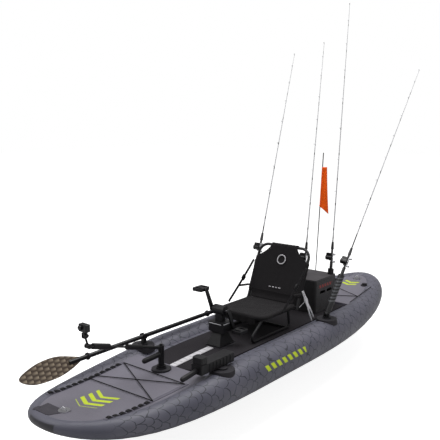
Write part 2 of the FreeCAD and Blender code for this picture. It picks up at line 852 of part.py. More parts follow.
def build_drive_shaft():
    """Upright shaft with a bevel pinion at each end."""
    centre = axle_centre()
    gear_reach = val("gear_radius")
    top = centre - UP * (gear_reach - 5)
    low = Vec(0, val("drive_y"), val("prop_level"))
    shaft = cylinder(val("shaft_radius"), low + UP * 24, top)
    upper = Part.makeCone(val("pinion_radius"), val("pinion_radius") - 3, 7,
                          centre - UP * gear_reach)
    lower = Part.makeCone(val("lower_pinion_radius") - 5, val("lower_pinion_radius"), 7,
                          low + UP * 13)
    link = cylinder(val("shaft_radius"), low + UP * 18, low + UP * 26)
    keep_shape("drive_shaft", shaft.multiFuse([upper, lower, link]))


def build_crank_axle():
    """Axle across the head with its bevel wheel on the port side of the shaft."""
    centre = axle_centre()
    reach = val("crank_offset") + val("crank_thickness") - 1
    axle = cylinder(val("axle_radius"), centre - ACROSS * reach, centre + ACROSS * reach)
    wheel = Part.makeCone(val("gear_radius") - 5, val("gear_radius"), 8,
                          centre + ACROSS * (val("pinion_radius") + 2), ACROSS)
    keep_shape("crank_axle", axle.fuse(wheel))


def crank_end(side):
    """Pedal axle height and position for the forward (starboard) or aft (port) crank."""
    angle = math.radians(val("crank_angle"))
    reach = val("crank_length") * (1 if side < 0 else -1)
    return axle_centre() + Vec(0, -reach * math.sin(angle), reach * math.cos(angle))


def build_cranks():
    """Both crank arms with their pedal spindles."""
    arms = []
    for side in (1, -1):
        inner = side * val("crank_offset")
        thick = side * val("crank_thickness")
        hub = axle_centre() + ACROSS * inner
        eye = crank_end(side) + ACROSS * inner
        arm = cylinder(19, hub, hub + ACROSS * thick).fuse(
            cylinder(14, eye, eye + ACROSS * thick))
        along = (eye - hub).normalize()
        across = along.cross(ACROSS).normalize()
        corners = [hub + across * 15, eye + across * 11, eye - across * 11, hub - across * 15]
        web = Part.Face(Part.makePolygon(corners + corners[:1])).extrude(ACROSS * thick)
        spindle = cylinder(6, eye, eye + ACROSS * (thick + side * (val("pedal_width") + 4)))
        arm = arm.multiFuse([web, spindle])
        axle = NODES["crank_axle"].Shape
        arms.append(largest_solid(arm.cut(axle)))
    keep_shape("crank_arms", Part.makeCompound(arms))


def build_pedal(label, side):
    """Platform pedal with a cage of two rails joined by cross bars."""
    body = new_body(label)
    frame = rounded_rectangle(val("pedal_width"), val("pedal_length"), 12)
    pad(body, new_sketch(body, "XY_Plane", frame, "Platform"), ref("pedal_thickness"),
        symmetric=True)
    for number, centre in enumerate((-1, 1)):
        window = rounded_rectangle(val("pedal_width") - 26, 22, 6, (0, centre * 28))
        pocket(body, new_sketch(body, "XY_Plane", window, "Window%d" % number), "60 mm",
               symmetric=True)
    bore = new_sketch(body, "YZ_Plane", circle_edges(6 + val("shaft_clearance")), "Spindle")
    pocket(body, bore, "200 mm", symmetric=True)
    eye = crank_end(side)
    outer = val("crank_offset") + val("crank_thickness") + 2 + val("pedal_width") / 2
    body.Placement.Base = Vec(side * outer, eye.y, eye.z)


def build_propeller():
    """Two-bladed propeller with its shaft and driven bevel pinion."""
    centre = Vec(0, val("drive_y"), val("prop_level"))
    hub_start = centre + AFT * 80
    hub = cylinder(18, hub_start, hub_start + AFT * 46).fuse(
        Part.makeCone(18, 6, 26, hub_start + AFT * 46, AFT))
    shaft = cylinder(val("axle_radius"), centre + AFT * 21, hub_start + AFT)
    gear = Part.makeCone(val("prop_gear_radius") - 3, val("prop_gear_radius"), 6,
                         centre + AFT * 17, AFT)
    blades = []
    for side in (1, -1):
        sections = []
        for share in (0.1, 0.35, 0.6, 0.85, 1.0):
            reach = side * share * val("prop_radius")
            chord = 34 + 26 * math.sin(math.pi * min(share, 0.92))
            pitch = math.radians(62 - 34 * share) * side
            half = Vec(math.sin(pitch), math.cos(pitch), 0) * (chord / 2)
            thick = Vec(math.cos(pitch), -math.sin(pitch), 0) * (4.5 - 2.5 * share)
            middle = hub_start + AFT * 23 + UP * reach
            ring = [middle + half, middle + thick, middle - half, middle - thick]
            sections.append(Part.makePolygon(ring + ring[:1]))
        blades.append(Part.makeLoft(sections, True, False))
    keep_shape("propeller", hub.multiFuse([shaft, gear] + blades))


build_drive_box()
build_drive_column()
build_drive_head()
build_lower_unit()
build_drive_shaft()
build_crank_axle()
build_cranks()
build_pedal("port_pedal", 1)
build_pedal("starboard_pedal", -1)
build_propeller()


# ---------------------------------------------------------------- crate and flag

CRATE_RODS = ((-35, 762, 7.9, -0.4), (132, 930, 4.0, 0.6))


def crate_low():
    return max(floor_level(val("crate_front")), floor_level(val("crate_rear"))) + 0.3


def build_crate():
    """Open-topped crate behind the seat, with hand holes and a flag socket at the back."""
    body = new_body("crate_body")
    width = 2 * val("crate_half_width")
    length = val("crate_rear") - val("crate_front")
    wall = val("crate_wall")
    outer = new_sketch(body, "XY_Plane", rounded_rectangle(width, length, 22), "Outer")
    pad(body, outer, ref("crate_height"))
    inner = rounded_rectangle(width - 2 * wall, length - 2 * wall, 16)
    inside = new_sketch(body, "XY_Plane", inner, "Inner")
    inside.AttachmentOffset = FreeCAD.Placement(Vec(0, 0, wall), FreeCAD.Rotation())
    pocket(body, inside, ref("crate_height"), reverse=True)
    for number, (u, v) in enumerate(((-55, 160), (55, 160))):
        grip = rounded_rectangle(80, 26, 12, (u, v))
        pocket(body, new_sketch(body, "YZ_Plane", grip, "Grip%d" % number), "500 mm",
               symmetric=True)
    bind_position(body, y="(Params.crate_front + Params.crate_rear) / 2")
    body.Placement.Base.z = crate_low()


def build_crate_lid():
    """Padded lid clipped on the crate, with clearance holes for the rod tubes."""
    body = new_body("crate_lid")
    width = 2 * val("crate_half_width") - 4
    length = val("crate_rear") - val("crate_front") - 4
    middle = (val("crate_front") + val("crate_rear")) / 2
    pad(body, new_sketch(body, "XY_Plane", rounded_rectangle(width, length, 20), "Plate"), "9 mm")
    rise = val("crate_height") - val("crate_wall") - 8
    for number, (x, y, lean, port) in enumerate(CRATE_RODS):
        hole = (x + rise * math.tan(math.radians(port)),
                y + rise * math.tan(math.radians(lean)) - middle)
        edges = circle_edges(val("rod_tube_radius") + 3.5, hole)
        pocket(body, new_sketch(body, "XY_Plane", edges, "TubeHole%d" % number), "60 mm",
               symmetric=True)
    bind_position(body, y="(Params.crate_front + Params.crate_rear) / 2")
    body.Placement.Base.z = crate_low() + val("crate_height") + 0.1


def crate_tubes():
    """Rod tubes standing inside the crate."""
    tubes = []
    for x, y, lean, port in CRATE_RODS:
        foot = Vec(x, y, crate_low() + val("crate_wall") + 12)
        tube = tube_between(val("rod_tube_radius"), val("rod_tube_radius") - val("rod_tube_wall"),
                            Vec(0, 0, 0), UP * 300)
        tubes.append(tilted(tube, foot, lean, port))
    return tubes


def build_flag():
    """Tall flag pole behind the crate and the safety flag on it."""
    lean = math.radians(4.8)
    along = Vec(0, math.sin(lean), math.cos(lean))
    foot = Vec(-50, val("crate_rear") + 8, 250)
    pole = cylinder(val("flag_pole_radius"), foot, foot + along * val("pole_length"))
    socket = cylinder(7.5, foot - UP * 6, foot + along * 60)
    keep_shape("flag_pole", pole.fuse(socket))
    sideways = Vec(1, 1, 0).normalize()
    hang = ((0, 0), (48, -12), (105, -372), (60, -409), (0, -330))
    corners = []
    for reach, drop in hang:
        height = val("flag_top") + drop
        on_pole = foot + along * ((height - foot.z) / along.z)
        corners.append(on_pole + sideways * (reach + val("flag_pole_radius") + 3))
    face = Part.Face(Part.makePolygon(corners + corners[:1]))
    keep_shape("flag", face.extrude(sideways.cross(along) * 2))


build_crate()
build_crate_lid()
build_flag()


# ---------------------------------------------------------------- rods and holders

def rod_shape(length):
    """Grip, reel seat, tapered blank and ring guides, along +Z from the butt."""
    grip = Part.makeCylinder(val("rod_grip_radius"), val("rod_grip_length"))
    seat_low = val("rod_grip_length")
    seat = Part.makeCylinder(9, 110, UP * (seat_low - 1))
    fore = Part.makeCone(13, 9, 60, UP * (seat_low + 108))
    blank = Part.makeCone(5, 1.4, length - seat_low - 160, UP * (seat_low + 160))
    guides = []
    count = 8
    for i in range(count):
        share = 1 - (1 - (i + 1) / count) ** 1.25
        z = seat_low + 320 + (length - seat_low - 325) * share
        ring = 11 - 8 * share
        guides.append(Part.makeTorus(ring, 1.2, Vec(0, -ring - 3, z), UP))
        guides.append(Part.makeBox(2.4, 5, 14, Vec(-1.2, -5, z - 12)))
    return grip.multiFuse([seat, fore, blank] + guides)


def reel_shape():
    """Low-profile reel body on its foot, in front of the rod's reel seat."""
    z = val("rod_reel_level")
    foot = Part.makeBox(12, 24, 56, Vec(-6, -32.5, z - 28))
    barrel = cylinder(22, Vec(-26, -44, z), Vec(26, -44, z))
    cover = Part.makeBox(46, 26, 34, Vec(-23, -58, z + 4))
    seat = cylinder(9.2, UP * (z - 60), UP * (z + 60))
    return foot.multiFuse([barrel, cover]).cut(seat)


def reel_handle_shape():
    """Double handle that turns beside the reel body."""
    z = val("rod_reel_level")
    hub = cylinder(7, Vec(26.4, -44, z), Vec(36, -44, z))
    bar = Part.makeBox(4, 12, 76, Vec(31, -50, z - 38))
    knobs = [cylinder(8, Vec(34.5, -44, z + sign * 31), Vec(54, -44, z + sign * 31))
             for sign in (1, -1)]
    return hub.multiFuse([bar] + knobs)


AFT_TILT = {"port": (27.3, 7.4, 2135), "starboard": (16.2, 0.3, 2120)}


def aft_pivot(side):
    x = side * val("aft_base_x")
    y = val("aft_base_y")
    return Vec(x, y, base_top(x, y) + 34)


def build_rod_set(name, origin, lean, port, length):
    """Rod, reel and handle sharing one tilted axis."""
    keep_shape("rod_" + name, tilted(rod_shape(length), origin, lean, port))
    keep_shape("reel_" + name, tilted(reel_shape(), origin, lean, port))
    keep_shape("reel_handle_" + name, tilted(reel_handle_shape(), origin, lean, port))


def build_aft_holder(name, side):
    """Rod tube on a knuckle that tilts on the aft mounting base."""
    lean, port, length = AFT_TILT[name]
    radius = val("rod_tube_radius")
    tube = tube_between(radius, radius - val("rod_tube_wall"), UP * 30, UP * 330)
    floor = Part.makeCylinder(radius, 5, UP * 26)
    knuckle = cylinder(15, ACROSS * -11, ACROSS * 11)
    neck = Part.makeBox(22, 20, 28, Vec(-11, -10, 0))
    pin_bore = cylinder(5 + val("shaft_clearance"), ACROSS * -40, ACROSS * 40)
    holder = tube.multiFuse([floor, knuckle, neck]).cut(pin_bore)
    pivot = aft_pivot(side)
    placed = tilted(holder, pivot, lean, port)
    keep_shape(name + "_aft_holder", placed)
    butt = placed.Placement.multVec(UP * 32)
    build_rod_set(name + "_aft", butt, lean, port, length)


def build_holder_forks():
    """Forked brackets with pivot pins on the two aft bases."""
    forks = []
    for name, side in (("port", 1), ("starboard", -1)):
        ears = [Part.makeBox(7, 30, 44, Vec(sign * 15 - 3.5, -15, -28)) for sign in (1, -1)]
        pin = cylinder(5, ACROSS * -24, ACROSS * 24)
        foot = Part.makeCylinder(28, 11, UP * -30)
        fork = tilted(ears[0].multiFuse([ears[1], pin, foot]), aft_pivot(side), 0,
                      AFT_TILT[name][1])
        forks.append(fork.cut(NODES["mount_bases"].Shape))
    keep_shape("holder_forks", Part.makeCompound(forks))


build_aft_holder("port", 1)
build_aft_holder("starboard", -1)
build_holder_forks()
for crate_name, (rod_x, rod_y, rod_lean, rod_port) in zip(("crate_front", "crate_rear"),
                                                          CRATE_RODS):
    build_rod_set(crate_name, Vec(rod_x, rod_y, crate_low() + val("crate_wall") + 14),
                  rod_lean, rod_port, 2216 if crate_name == "crate_front" else 2500)


# ---------------------------------------------------------------- paddle

def paddle_axis(y):
    return Vec(val("paddle_x"), y, val("paddle_level"))


def blade_shape():
    """Asymmetric blade in the XY plane, throat at the origin, tip along -Y."""
    length = val("blade_length")
    wide = val("blade_width")
    outline = [(0.10, 0.0), (0.30, -0.16), (0.47, -0.40), (0.48, -0.66), (0.30, -0.90),
               (0.0, -1.0), (-0.30, -0.86), (-0.48, -0.62), (-0.47, -0.36), (-0.26, -0.14),
               (-0.10, 0.0)]
    points = [Vec(u * wide, v * length, 0) for u, v in outline]
    curve = Part.BSplineCurve()
    curve.interpolate(points)
    edges = [curve.toShape(), Part.LineSegment(points[-1], points[0]).toShape()]
    blade = Part.Face(Part.Wire(edges)).extrude(UP * 4)
    blade.translate(UP * -2)
    return blade


def build_paddle():
    front = val("paddle_tip_front") + val("blade_length")
    rear = val("paddle_tip_rear") - val("blade_length")
    radius = val("paddle_shaft_radius")
    shaft = cylinder(radius, paddle_axis(front - 90), paddle_axis(rear + 90))
    blades = []
    for y, turn, roll in ((front, 0, 65), (rear, 180, -25)):
        blade = blade_shape()
        turn_end = FreeCAD.Rotation(UP, turn)
        roll_blade = FreeCAD.Rotation(AFT, roll)
        blade.Placement = FreeCAD.Placement(paddle_axis(y), roll_blade.multiply(turn_end))
        blades.append(largest_solid(blade.cut(shaft)))
    keep_shape("paddle_shaft", shaft)
    keep_shape("paddle_blades", Part.makeCompound(blades))
    rings = []
    for y in (front + 60, rear - 60):
        disc = cylinder(24, paddle_axis(y - 4), paddle_axis(y + 4))
        sleeve = cylinder(19, paddle_axis(y - 12), paddle_axis(y + 12))
        rings.append(disc.fuse(sleeve).cut(shaft))
    keep_shape("paddle_drip_rings", Part.makeCompound(rings))


def build_paddle_clip():
    """U-shaped clip on the starboard front base, open at the top for the paddle."""
    x = val("paddle_x")
    y = val("front_base_y")
    inner = val("paddle_shaft_radius") + 0.6
    outer = inner + 6
    low = base_top(-val("front_base_x"), y) + 9
    level_z = val("paddle_level")
    ring = cylinder(outer, Vec(x, y - 18, level_z), Vec(x, y + 18, level_z))
    arms = Part.makeBox(2 * outer, 36, 18, Vec(x - outer, y - 18, level_z))
    stem = Part.makeBox(26, 26, level_z - low, Vec(x - 13, y - 13, low))
    slot = Part.makeBox(2 * inner, 80, 60, Vec(x - inner, y - 40, level_z))
    bore = cylinder(inner, Vec(x, y - 40, level_z), Vec(x, y + 40, level_z))
    knob = cylinder(9, Vec(x - outer - 20, y, level_z - 12), Vec(x - outer + 4, y, level_z - 12))
    clip = ring.multiFuse([arms, stem, knob]).cut(slot).cut(bore)
    keep_shape("paddle_clip", largest_solid(clip.cut(NODES["mount_bases"].Shape)))


build_paddle()
build_paddle_clip()


# ---------------------------------------------------------------- bow mount, camera and case

def bow_post_foot():
    y = val("bow_base_y")
    return Vec(0, y, base_top(0, y) + 9)


def build_bow_post():
    """Post on the bow base with a waist for the camera arm's collar."""
    foot = bow_post_foot()
    top = val("post_level")
    post = cylinder(val("post_radius"), foot, Vec(0, foot.y, top - 14))
    neck = cylinder(9, Vec(0, foot.y, top - 15), Vec(0, foot.y, top + 22))
    hub = cylinder(30, Vec(0, foot.y, foot.z), Vec(0, foot.y, foot.z + 12))
    cap = cylinder(10.5, Vec(0, foot.y, top + 16.5), Vec(0, foot.y, top + 26))
    post = post.multiFuse([neck, hub, cap])
    keep_shape("bow_post", post.cut(NODES["mount_bases"].Shape))


def build_rod_tubes():
    """Rod tubes: two in the crate, one on the bow post and one ahead of the gear case."""
    foot = bow_post_foot()
    tubes = crate_tubes()
    front = Vec(0, foot.y - 150, foot.z + 82)
    rear = Vec(0, foot.y - 19, foot.z + 88)
    bow_tube = cylinder(17, front, rear).fuse(Part.makeSphere(17, front))
    tubes.append(bow_tube.cut(NODES["bow_post"].Shape))
    low = val("case_low") + 16
    case_front = val("case_y") - val("case_length") / 2
    side_front = Vec(val("case_x") + 12, case_front - 135, low - 2)
    side_rear = Vec(val("case_x"), case_front - 0.1, low + 6)
    side_tube_shape = cylinder(17, side_front, side_rear + AFT * 10)
    side_tube_shape = side_tube_shape.fuse(Part.makeSphere(17, side_front))
    limit = Part.makeBox(400, 600, 400, Vec(val("case_x") - 200, case_front - 0.1, low - 200))
    tubes.append(side_tube_shape.cut(limit))
    keep_shape("rod_tubes", Part.makeCompound(tubes))


PLIER_JAW = Vec(268.5, 284, 498)
PLIER_RUN = Vec(0, 157, -259).normalize()
PLIER_LENGTH = 303
PLIER_PIVOT = 105
PLIER_PLATE = 5


def plier_place(along, aside, shift=0):
    """Point of the pliers: distance from the jaw tip, distance to one side, shift to port."""
    return PLIER_JAW + PLIER_RUN * along + PLIER_RUN.cross(ACROSS) * aside + ACROSS * shift


def plier_half(side, shift):
    """One plier lever: jaw on one side of the pivot and padded handle on the other."""
    outline = [(0, 0.5), (0, 5), (70, 11), (92, 17), (118, 14), (160, -2), (225, -11),
               (300, -13), (PLIER_LENGTH, -23), (222, -23), (150, -15), (115, -17), (92, -15),
               (85, 0.5)]
    corners = [plier_place(u, side * v, shift - PLIER_PLATE / 2) for u, v in outline]
    plate = Part.Face(Part.makePolygon(corners + corners[:1])).extrude(ACROSS * PLIER_PLATE)
    grip = cylinder(5, plier_place(185, side * -14, shift), plier_place(296, side * -18, shift))
    return plate.fuse(grip)


def build_pliers():
    """Long-nosed pliers on a short lanyard from the seat's port pivot stud."""
    halves = [plier_half(1, 0), plier_half(-1, PLIER_PLATE + 0.2)]
    stud = Vec(251.3, val("pivot_y") + 2, val("seat_level"))
    eye = plier_place(PLIER_PIVOT, 0, -PLIER_PLATE / 2 - 1.8)
    lanyard = cylinder(1.5, stud, eye)
    keep_shape("fishing_pliers", Part.makeCompound(halves + [lanyard]))


def build_camera_arm():
    """Two arm segments with a hinge at the post, the elbow and the camera."""
    foot = bow_post_foot()
    level_z = val("post_level")
    start = Vec(0, foot.y, level_z)
    elbow = Vec(0, val("elbow_y"), val("elbow_level"))
    lens = Vec(0, val("lens_y"), val("lens_level"))
    gap = val("shaft_clearance")
    collar = cylinder(20, start - UP * 13.5, start + UP * 16)
    run = (elbow - start).normalize()
    reach = (elbow - start).Length
    thick = cylinder(11, start + run * 16, start + run * 190)
    grip = cylinder(17, start + run * 185, start + run * 310)
    rods = [cylinder(4.2, start + run * 300 + ACROSS * x, start + run * 470 + ACROSS * x)
            for x in (-11, 11)]
    knuckle = cylinder(18, start + run * 455, start + run * (reach - 34))
    stems = [cylinder(4.2, start + run * (reach - 50) + ACROSS * x, elbow - run * 8 + ACROSS * x)
             for x in (-12, 12)]
    ears = [cylinder(15, elbow + ACROSS * (x - 4.5), elbow + ACROSS * (x + 4.5))
            for x in (-12, 12)]
    pin = cylinder(4, elbow - ACROSS * 20, elbow + ACROSS * 20)
    lower = collar.multiFuse([thick, grip, knuckle, pin] + rods + stems + ears)
    lower = lower.cut(cylinder(9 + gap, start - UP * 40, start + UP * 40))
    keep_shape("camera_lower_arm", largest_solid(lower))

    up = (lens - elbow).normalize()
    tongue = cylinder(13, elbow - ACROSS * 6.5, elbow + ACROSS * 6.5)
    stem = cylinder(6, elbow + up * 10, lens - up * 52)
    head = lens - up * 34
    fork = [Part.makeBox(5, 22, 26, Vec(x - 2.5, head.y - 11, head.z - 13)) for x in (-11, 11)]
    bridge = Part.makeBox(27, 22, 6, Vec(-13.5, head.y - 11, head.z - 18))
    head_pin = cylinder(3.5, head - ACROSS * 22, head + ACROSS * 16)
    knob = cylinder(10, head + ACROSS * 16, head + ACROSS * 26)
    upper = tongue.multiFuse([stem, bridge, head_pin, knob] + fork)
    upper = upper.cut(cylinder(4 + gap, elbow - ACROSS * 30, elbow + ACROSS * 30))
    keep_shape("camera_upper_arm", largest_solid(upper))

    tab = Part.makeBox(16, 16, 30, Vec(-8, head.y - 8, head.z - 8))
    case = Part.makeBox(66, 34, 46, Vec(-33, head.y - 17, head.z + 20))
    case = case.makeFillet(5, case.Edges)
    barrel = cylinder(14, Vec(-12, head.y - 16, head.z + 45), Vec(-12, head.y - 28, head.z + 45))
    camera = case.multiFuse([tab, barrel])
    camera = camera.cut(cylinder(3.5 + gap, head - ACROSS * 30, head + ACROSS * 30))
    keep_shape("camera", camera)


def build_gear_case():
    """Low ribbed case on the port front base, taller at its forward end."""
    body = new_body("gear_case")
    width, length = val("case_width"), val("case_length")
    outer = rounded_rectangle(width, length, 10)
    pad(body, new_sketch(body, "XY_Plane", outer, "Case"), ref("case_height"))
    front = rounded_rectangle(width - 10, 62, 14, (0, 36 - length / 2))
    pad(body, new_sketch(body, "XY_Plane", front, "FrontTower"), ref("case_front_height"))
    for number in range(7):
        rib = rounded_rectangle(width + 8, 7, 3, (0, number * 34 - 85))
        pad(body, new_sketch(body, "XY_Plane", rib, "Rib%d" % number), "Params.case_height - 6")
    bind_position(body, x=ref("case_x"), y=ref("case_y"), z=ref("case_low"))


build_bow_post()
build_gear_case()
build_rod_tubes()
build_pliers()
build_camera_arm()


def export_nodes():
    """Check every object, then write one STEP file per sub-part."""
    doc.recompute()
    for obj in doc.Objects:
        bad = [state for state in obj.State if state in ("Invalid", "Error")]
        if bad:
            raise RuntimeError("%s is %s" % (obj.Label, bad))
    os.makedirs("parts", exist_ok=True)
    for label, obj in NODES.items():
        shape = obj.Shape
        if shape.isNull() or not shape.isValid():
            raise RuntimeError("%s has no valid shape" % label)
        shape.exportStep("parts/%s.step" % label)
        print("%-22s solids %d volume %.0f box %s" % (label, len(shape.Solids), shape.Volume,
              [round(v) for v in (shape.BoundBox.XMin, shape.BoundBox.XMax, shape.BoundBox.YMin,
               shape.BoundBox.YMax, shape.BoundBox.ZMin, shape.BoundBox.ZMax)]))


export_nodes()
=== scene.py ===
import json
import math

import bpy
import bmesh
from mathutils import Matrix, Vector


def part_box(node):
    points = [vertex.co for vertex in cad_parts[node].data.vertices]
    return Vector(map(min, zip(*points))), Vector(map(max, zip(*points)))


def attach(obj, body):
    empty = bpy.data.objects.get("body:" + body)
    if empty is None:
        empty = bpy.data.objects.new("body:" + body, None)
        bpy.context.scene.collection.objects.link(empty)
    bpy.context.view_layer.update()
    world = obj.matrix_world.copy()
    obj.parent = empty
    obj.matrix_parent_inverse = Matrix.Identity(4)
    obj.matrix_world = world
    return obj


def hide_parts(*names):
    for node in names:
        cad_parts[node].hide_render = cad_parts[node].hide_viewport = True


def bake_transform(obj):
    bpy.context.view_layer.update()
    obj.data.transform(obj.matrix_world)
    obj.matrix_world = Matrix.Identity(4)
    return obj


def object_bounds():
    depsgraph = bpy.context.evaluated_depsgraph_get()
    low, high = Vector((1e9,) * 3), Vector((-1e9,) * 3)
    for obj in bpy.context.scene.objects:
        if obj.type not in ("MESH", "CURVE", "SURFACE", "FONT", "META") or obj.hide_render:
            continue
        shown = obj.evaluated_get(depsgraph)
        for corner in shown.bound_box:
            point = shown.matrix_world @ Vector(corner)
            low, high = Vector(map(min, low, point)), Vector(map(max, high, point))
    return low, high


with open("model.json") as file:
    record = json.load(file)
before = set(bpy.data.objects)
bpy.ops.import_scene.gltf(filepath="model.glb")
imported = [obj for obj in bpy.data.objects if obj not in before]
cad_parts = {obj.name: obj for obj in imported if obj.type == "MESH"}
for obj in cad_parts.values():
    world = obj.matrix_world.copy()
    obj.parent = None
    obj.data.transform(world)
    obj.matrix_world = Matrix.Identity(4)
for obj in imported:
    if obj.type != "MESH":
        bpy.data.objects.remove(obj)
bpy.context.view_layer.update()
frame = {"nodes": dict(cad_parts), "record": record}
NODES = frame["nodes"]


# ---------------------------------------------------------------- colour and shader helpers

def srgb(red, green, blue):
    """Linear colour for a screen colour given as 0 to 255."""
    def linear(channel):
        c = channel / 255
        return c / 12.92 if c <= 0.04045 else ((c + 0.055) / 1.055) ** 2.4
    return (linear(red), linear(green), linear(blue), 1.0)


class Finish:
    """One procedural material and the sockets its parts are wired from."""

    def __init__(self, name, colour, roughness=0.6, metallic=0.0, sheen=0.0, coat=0.0):
        self.material = bpy.data.materials.new(name)
        self.material.use_nodes = True
        self.tree = self.material.node_tree
        self.surface = self.tree.nodes["Principled BSDF"]
        self.surface.inputs["Base Color"].default_value = colour
        self.surface.inputs["Roughness"].default_value = roughness
        self.surface.inputs["Metallic"].default_value = metallic
        self.surface.inputs["Sheen Weight"].default_value = sheen
        self.surface.inputs["Coat Weight"].default_value = coat
        self.place = self.node("ShaderNodeTexCoord").outputs["Object"]
        self.parts = None
        self.bump_normal = None

    def node(self, kind, **settings):
        """New shader node with the given settings."""
        made = self.tree.nodes.new(kind)
        for key, value in settings.items():
            setattr(made, key, value)
        return made

    def feed(self, socket, value):
        """Links another socket into this one, or sets its fixed value."""
        if isinstance(value, bpy.types.NodeSocket):
            self.tree.links.new(value, socket)
        else:
            socket.default_value = value

    def math(self, operation, first, second=0.0, third=0.0):
        """Result of one arithmetic step on sockets or numbers."""
        made = self.node("ShaderNodeMath", operation=operation)
        for socket, value in zip(made.inputs, (first, second, third)):
            self.feed(socket, value)
        return made.outputs[0]

    def axis(self, letter):
        """Coordinate along one axis of the boat's frame, in metres."""
        if self.parts is None:
            self.parts = self.node("ShaderNodeSeparateXYZ")
            self.feed(self.parts.inputs[0], self.place)
        return self.parts.outputs[letter]

    def step(self, value, low, high):
        """0 below low, 1 above high, smooth in between."""
        made = self.node("ShaderNodeMapRange", interpolation_type="SMOOTHSTEP")
        self.feed(made.inputs["Value"], value)
        self.feed(made.inputs["From Min"], low)
        self.feed(made.inputs["From Max"], high)
        return made.outputs["Result"]

    def between(self, value, low, high, soft=0.001):
        """1 where value lies between low and high."""
        return self.math("MULTIPLY", self.step(value, low - soft, low + soft),
                         self.step(value, high + soft, high - soft))

    def noise(self, scale, detail=3.0, stretch=(1, 1, 1)):
        """Smooth noise from 0 to 1, finer for a larger scale."""
        mapping = self.node("ShaderNodeMapping")
        mapping.inputs["Scale"].default_value = stretch
        self.feed(mapping.inputs["Vector"], self.place)
        made = self.node("ShaderNodeTexNoise")
        made.inputs["Scale"].default_value = scale
        made.inputs["Detail"].default_value = detail
        self.feed(made.inputs["Vector"], mapping.outputs[0])
        return made.outputs["Fac"]

    def waves(self, coordinate, pitch):
        """0 to 1 ripple along a coordinate."""
        turn = self.math("MULTIPLY", coordinate, 2 * math.pi / pitch)
        return self.math("MULTIPLY_ADD", self.math("SINE", turn), 0.5, 0.5)

    def weave(self, pitch):
        """Plain weave height, from ripples along all three axes."""
        along = self.math("MULTIPLY", self.waves(self.axis("X"), pitch),
                          self.waves(self.axis("Y"), pitch))
        return self.math("ADD", along, self.waves(self.axis("Z"), pitch))

    def mix(self, share, first, second):
        """Blend of two colours, all of the second where share is 1."""
        made = self.node("ShaderNodeMix", data_type="RGBA")
        colour_a, colour_b = made.inputs[6:8]
        self.feed(made.inputs["Factor"], share)
        self.feed(colour_a, first)
        self.feed(colour_b, second)
        return made.outputs[2]

    def colour(self, value):
        """Sets the surface colour."""
        self.feed(self.surface.inputs["Base Color"], value)

    def roughness(self, value):
        """Sets the surface roughness."""
        self.feed(self.surface.inputs["Roughness"], value)

    def bump(self, height, depth, strength=0.6):
        """Adds relief of the given depth in metres, on top of any earlier relief."""
        made = self.node("ShaderNodeBump")
        made.inputs["Strength"].default_value = strength
        made.inputs["Distance"].default_value = depth
        self.feed(made.inputs["Height"], height)
        if self.bump_normal is not None:
            self.feed(made.inputs["Normal"], self.bump_normal)
        self.bump_normal = made.outputs[0]
        self.feed(self.surface.inputs["Normal"], self.bump_normal)

    def product(self, *values):
        """Product of several shares."""
        result = values[0]
        for value in values[1:]:
            result = self.math("MULTIPLY", result, value)
        return result

    def dashes(self, coordinate, pitch, share):
        """1 on dashes that fill a share of every pitch."""
        return self.math("LESS_THAN", self.math("FRACT", self.math("DIVIDE", coordinate, pitch)),
                         share)

    def wear(self, colour, amount=0.18, scale=9.0):
        """Uneven tone over a colour, darker and lighter in soft patches."""
        dark = tuple(c * (1 - amount) for c in colour[:3]) + (1.0,)
        light = tuple(min(1.0, c * (1 + amount)) for c in colour[:3]) + (1.0,)
        return self.mix(self.noise(scale, 5.0), dark, light)


def paint(finish, *pieces):
    """Gives one finish to CAD nodes, named, or to new objects."""
    for piece in pieces:
        obj = NODES[piece] if isinstance(piece, str) else piece
        obj.data.materials.clear()
        obj.data.materials.append(finish.material)


def smooth(name, angle=35):
    """Welds a CAD node's seams and shades it smooth where it turns gently."""
    obj = NODES[name]
    weld = obj.modifiers.new("weld", "WELD")
    weld.merge_threshold = 0.00002
    obj.data.shade_smooth()
    split = obj.modifiers.new("crisp", "EDGE_SPLIT")
    split.split_angle = math.radians(angle)
    split.use_edge_sharp = False


# ---------------------------------------------------------------- finishes

LIME = srgb(186, 204, 24)
HULL_GREY = srgb(90, 89, 101)
LOW_GREY = srgb(74, 74, 87)
DECK_GREY = srgb(110, 107, 118)
GUARD_GREY = srgb(40, 38, 44)
INK = srgb(30, 31, 42)
CLOTH_BLACK = srgb(20, 18, 20)
FOAM_BLACK = srgb(36, 33, 37)
CRATE_BLACK = srgb(24, 21, 25)
HOLDER_BLACK = srgb(24, 23, 26)
BLACK = srgb(19, 18, 21)
TUBE_RADIUS = 0.121
RODS = ("port_aft", "starboard_aft", "crate_front", "crate_rear")


def tube_girth(finish):
    """Angle round a hull tube: 0 at the outer side, quarter turn at the top, in radians."""
    normal = finish.node("ShaderNodeNewGeometry").outputs["Normal"]
    parts = finish.node("ShaderNodeSeparateXYZ")
    finish.feed(parts.inputs[0], normal)
    across, along, up = parts.outputs
    outward = finish.math("ADD", finish.math("MULTIPLY", across, finish.axis("X")),
                          finish.product(along, finish.axis("Y"), 0.25))
    level = finish.math("SQRT", finish.math("ADD", finish.math("MULTIPLY", across, across),
                                            finish.math("MULTIPLY", along, along)))
    signed = finish.math("MULTIPLY", level, finish.math("SIGN", outward))
    return finish.math("ARCTAN2", up, signed)


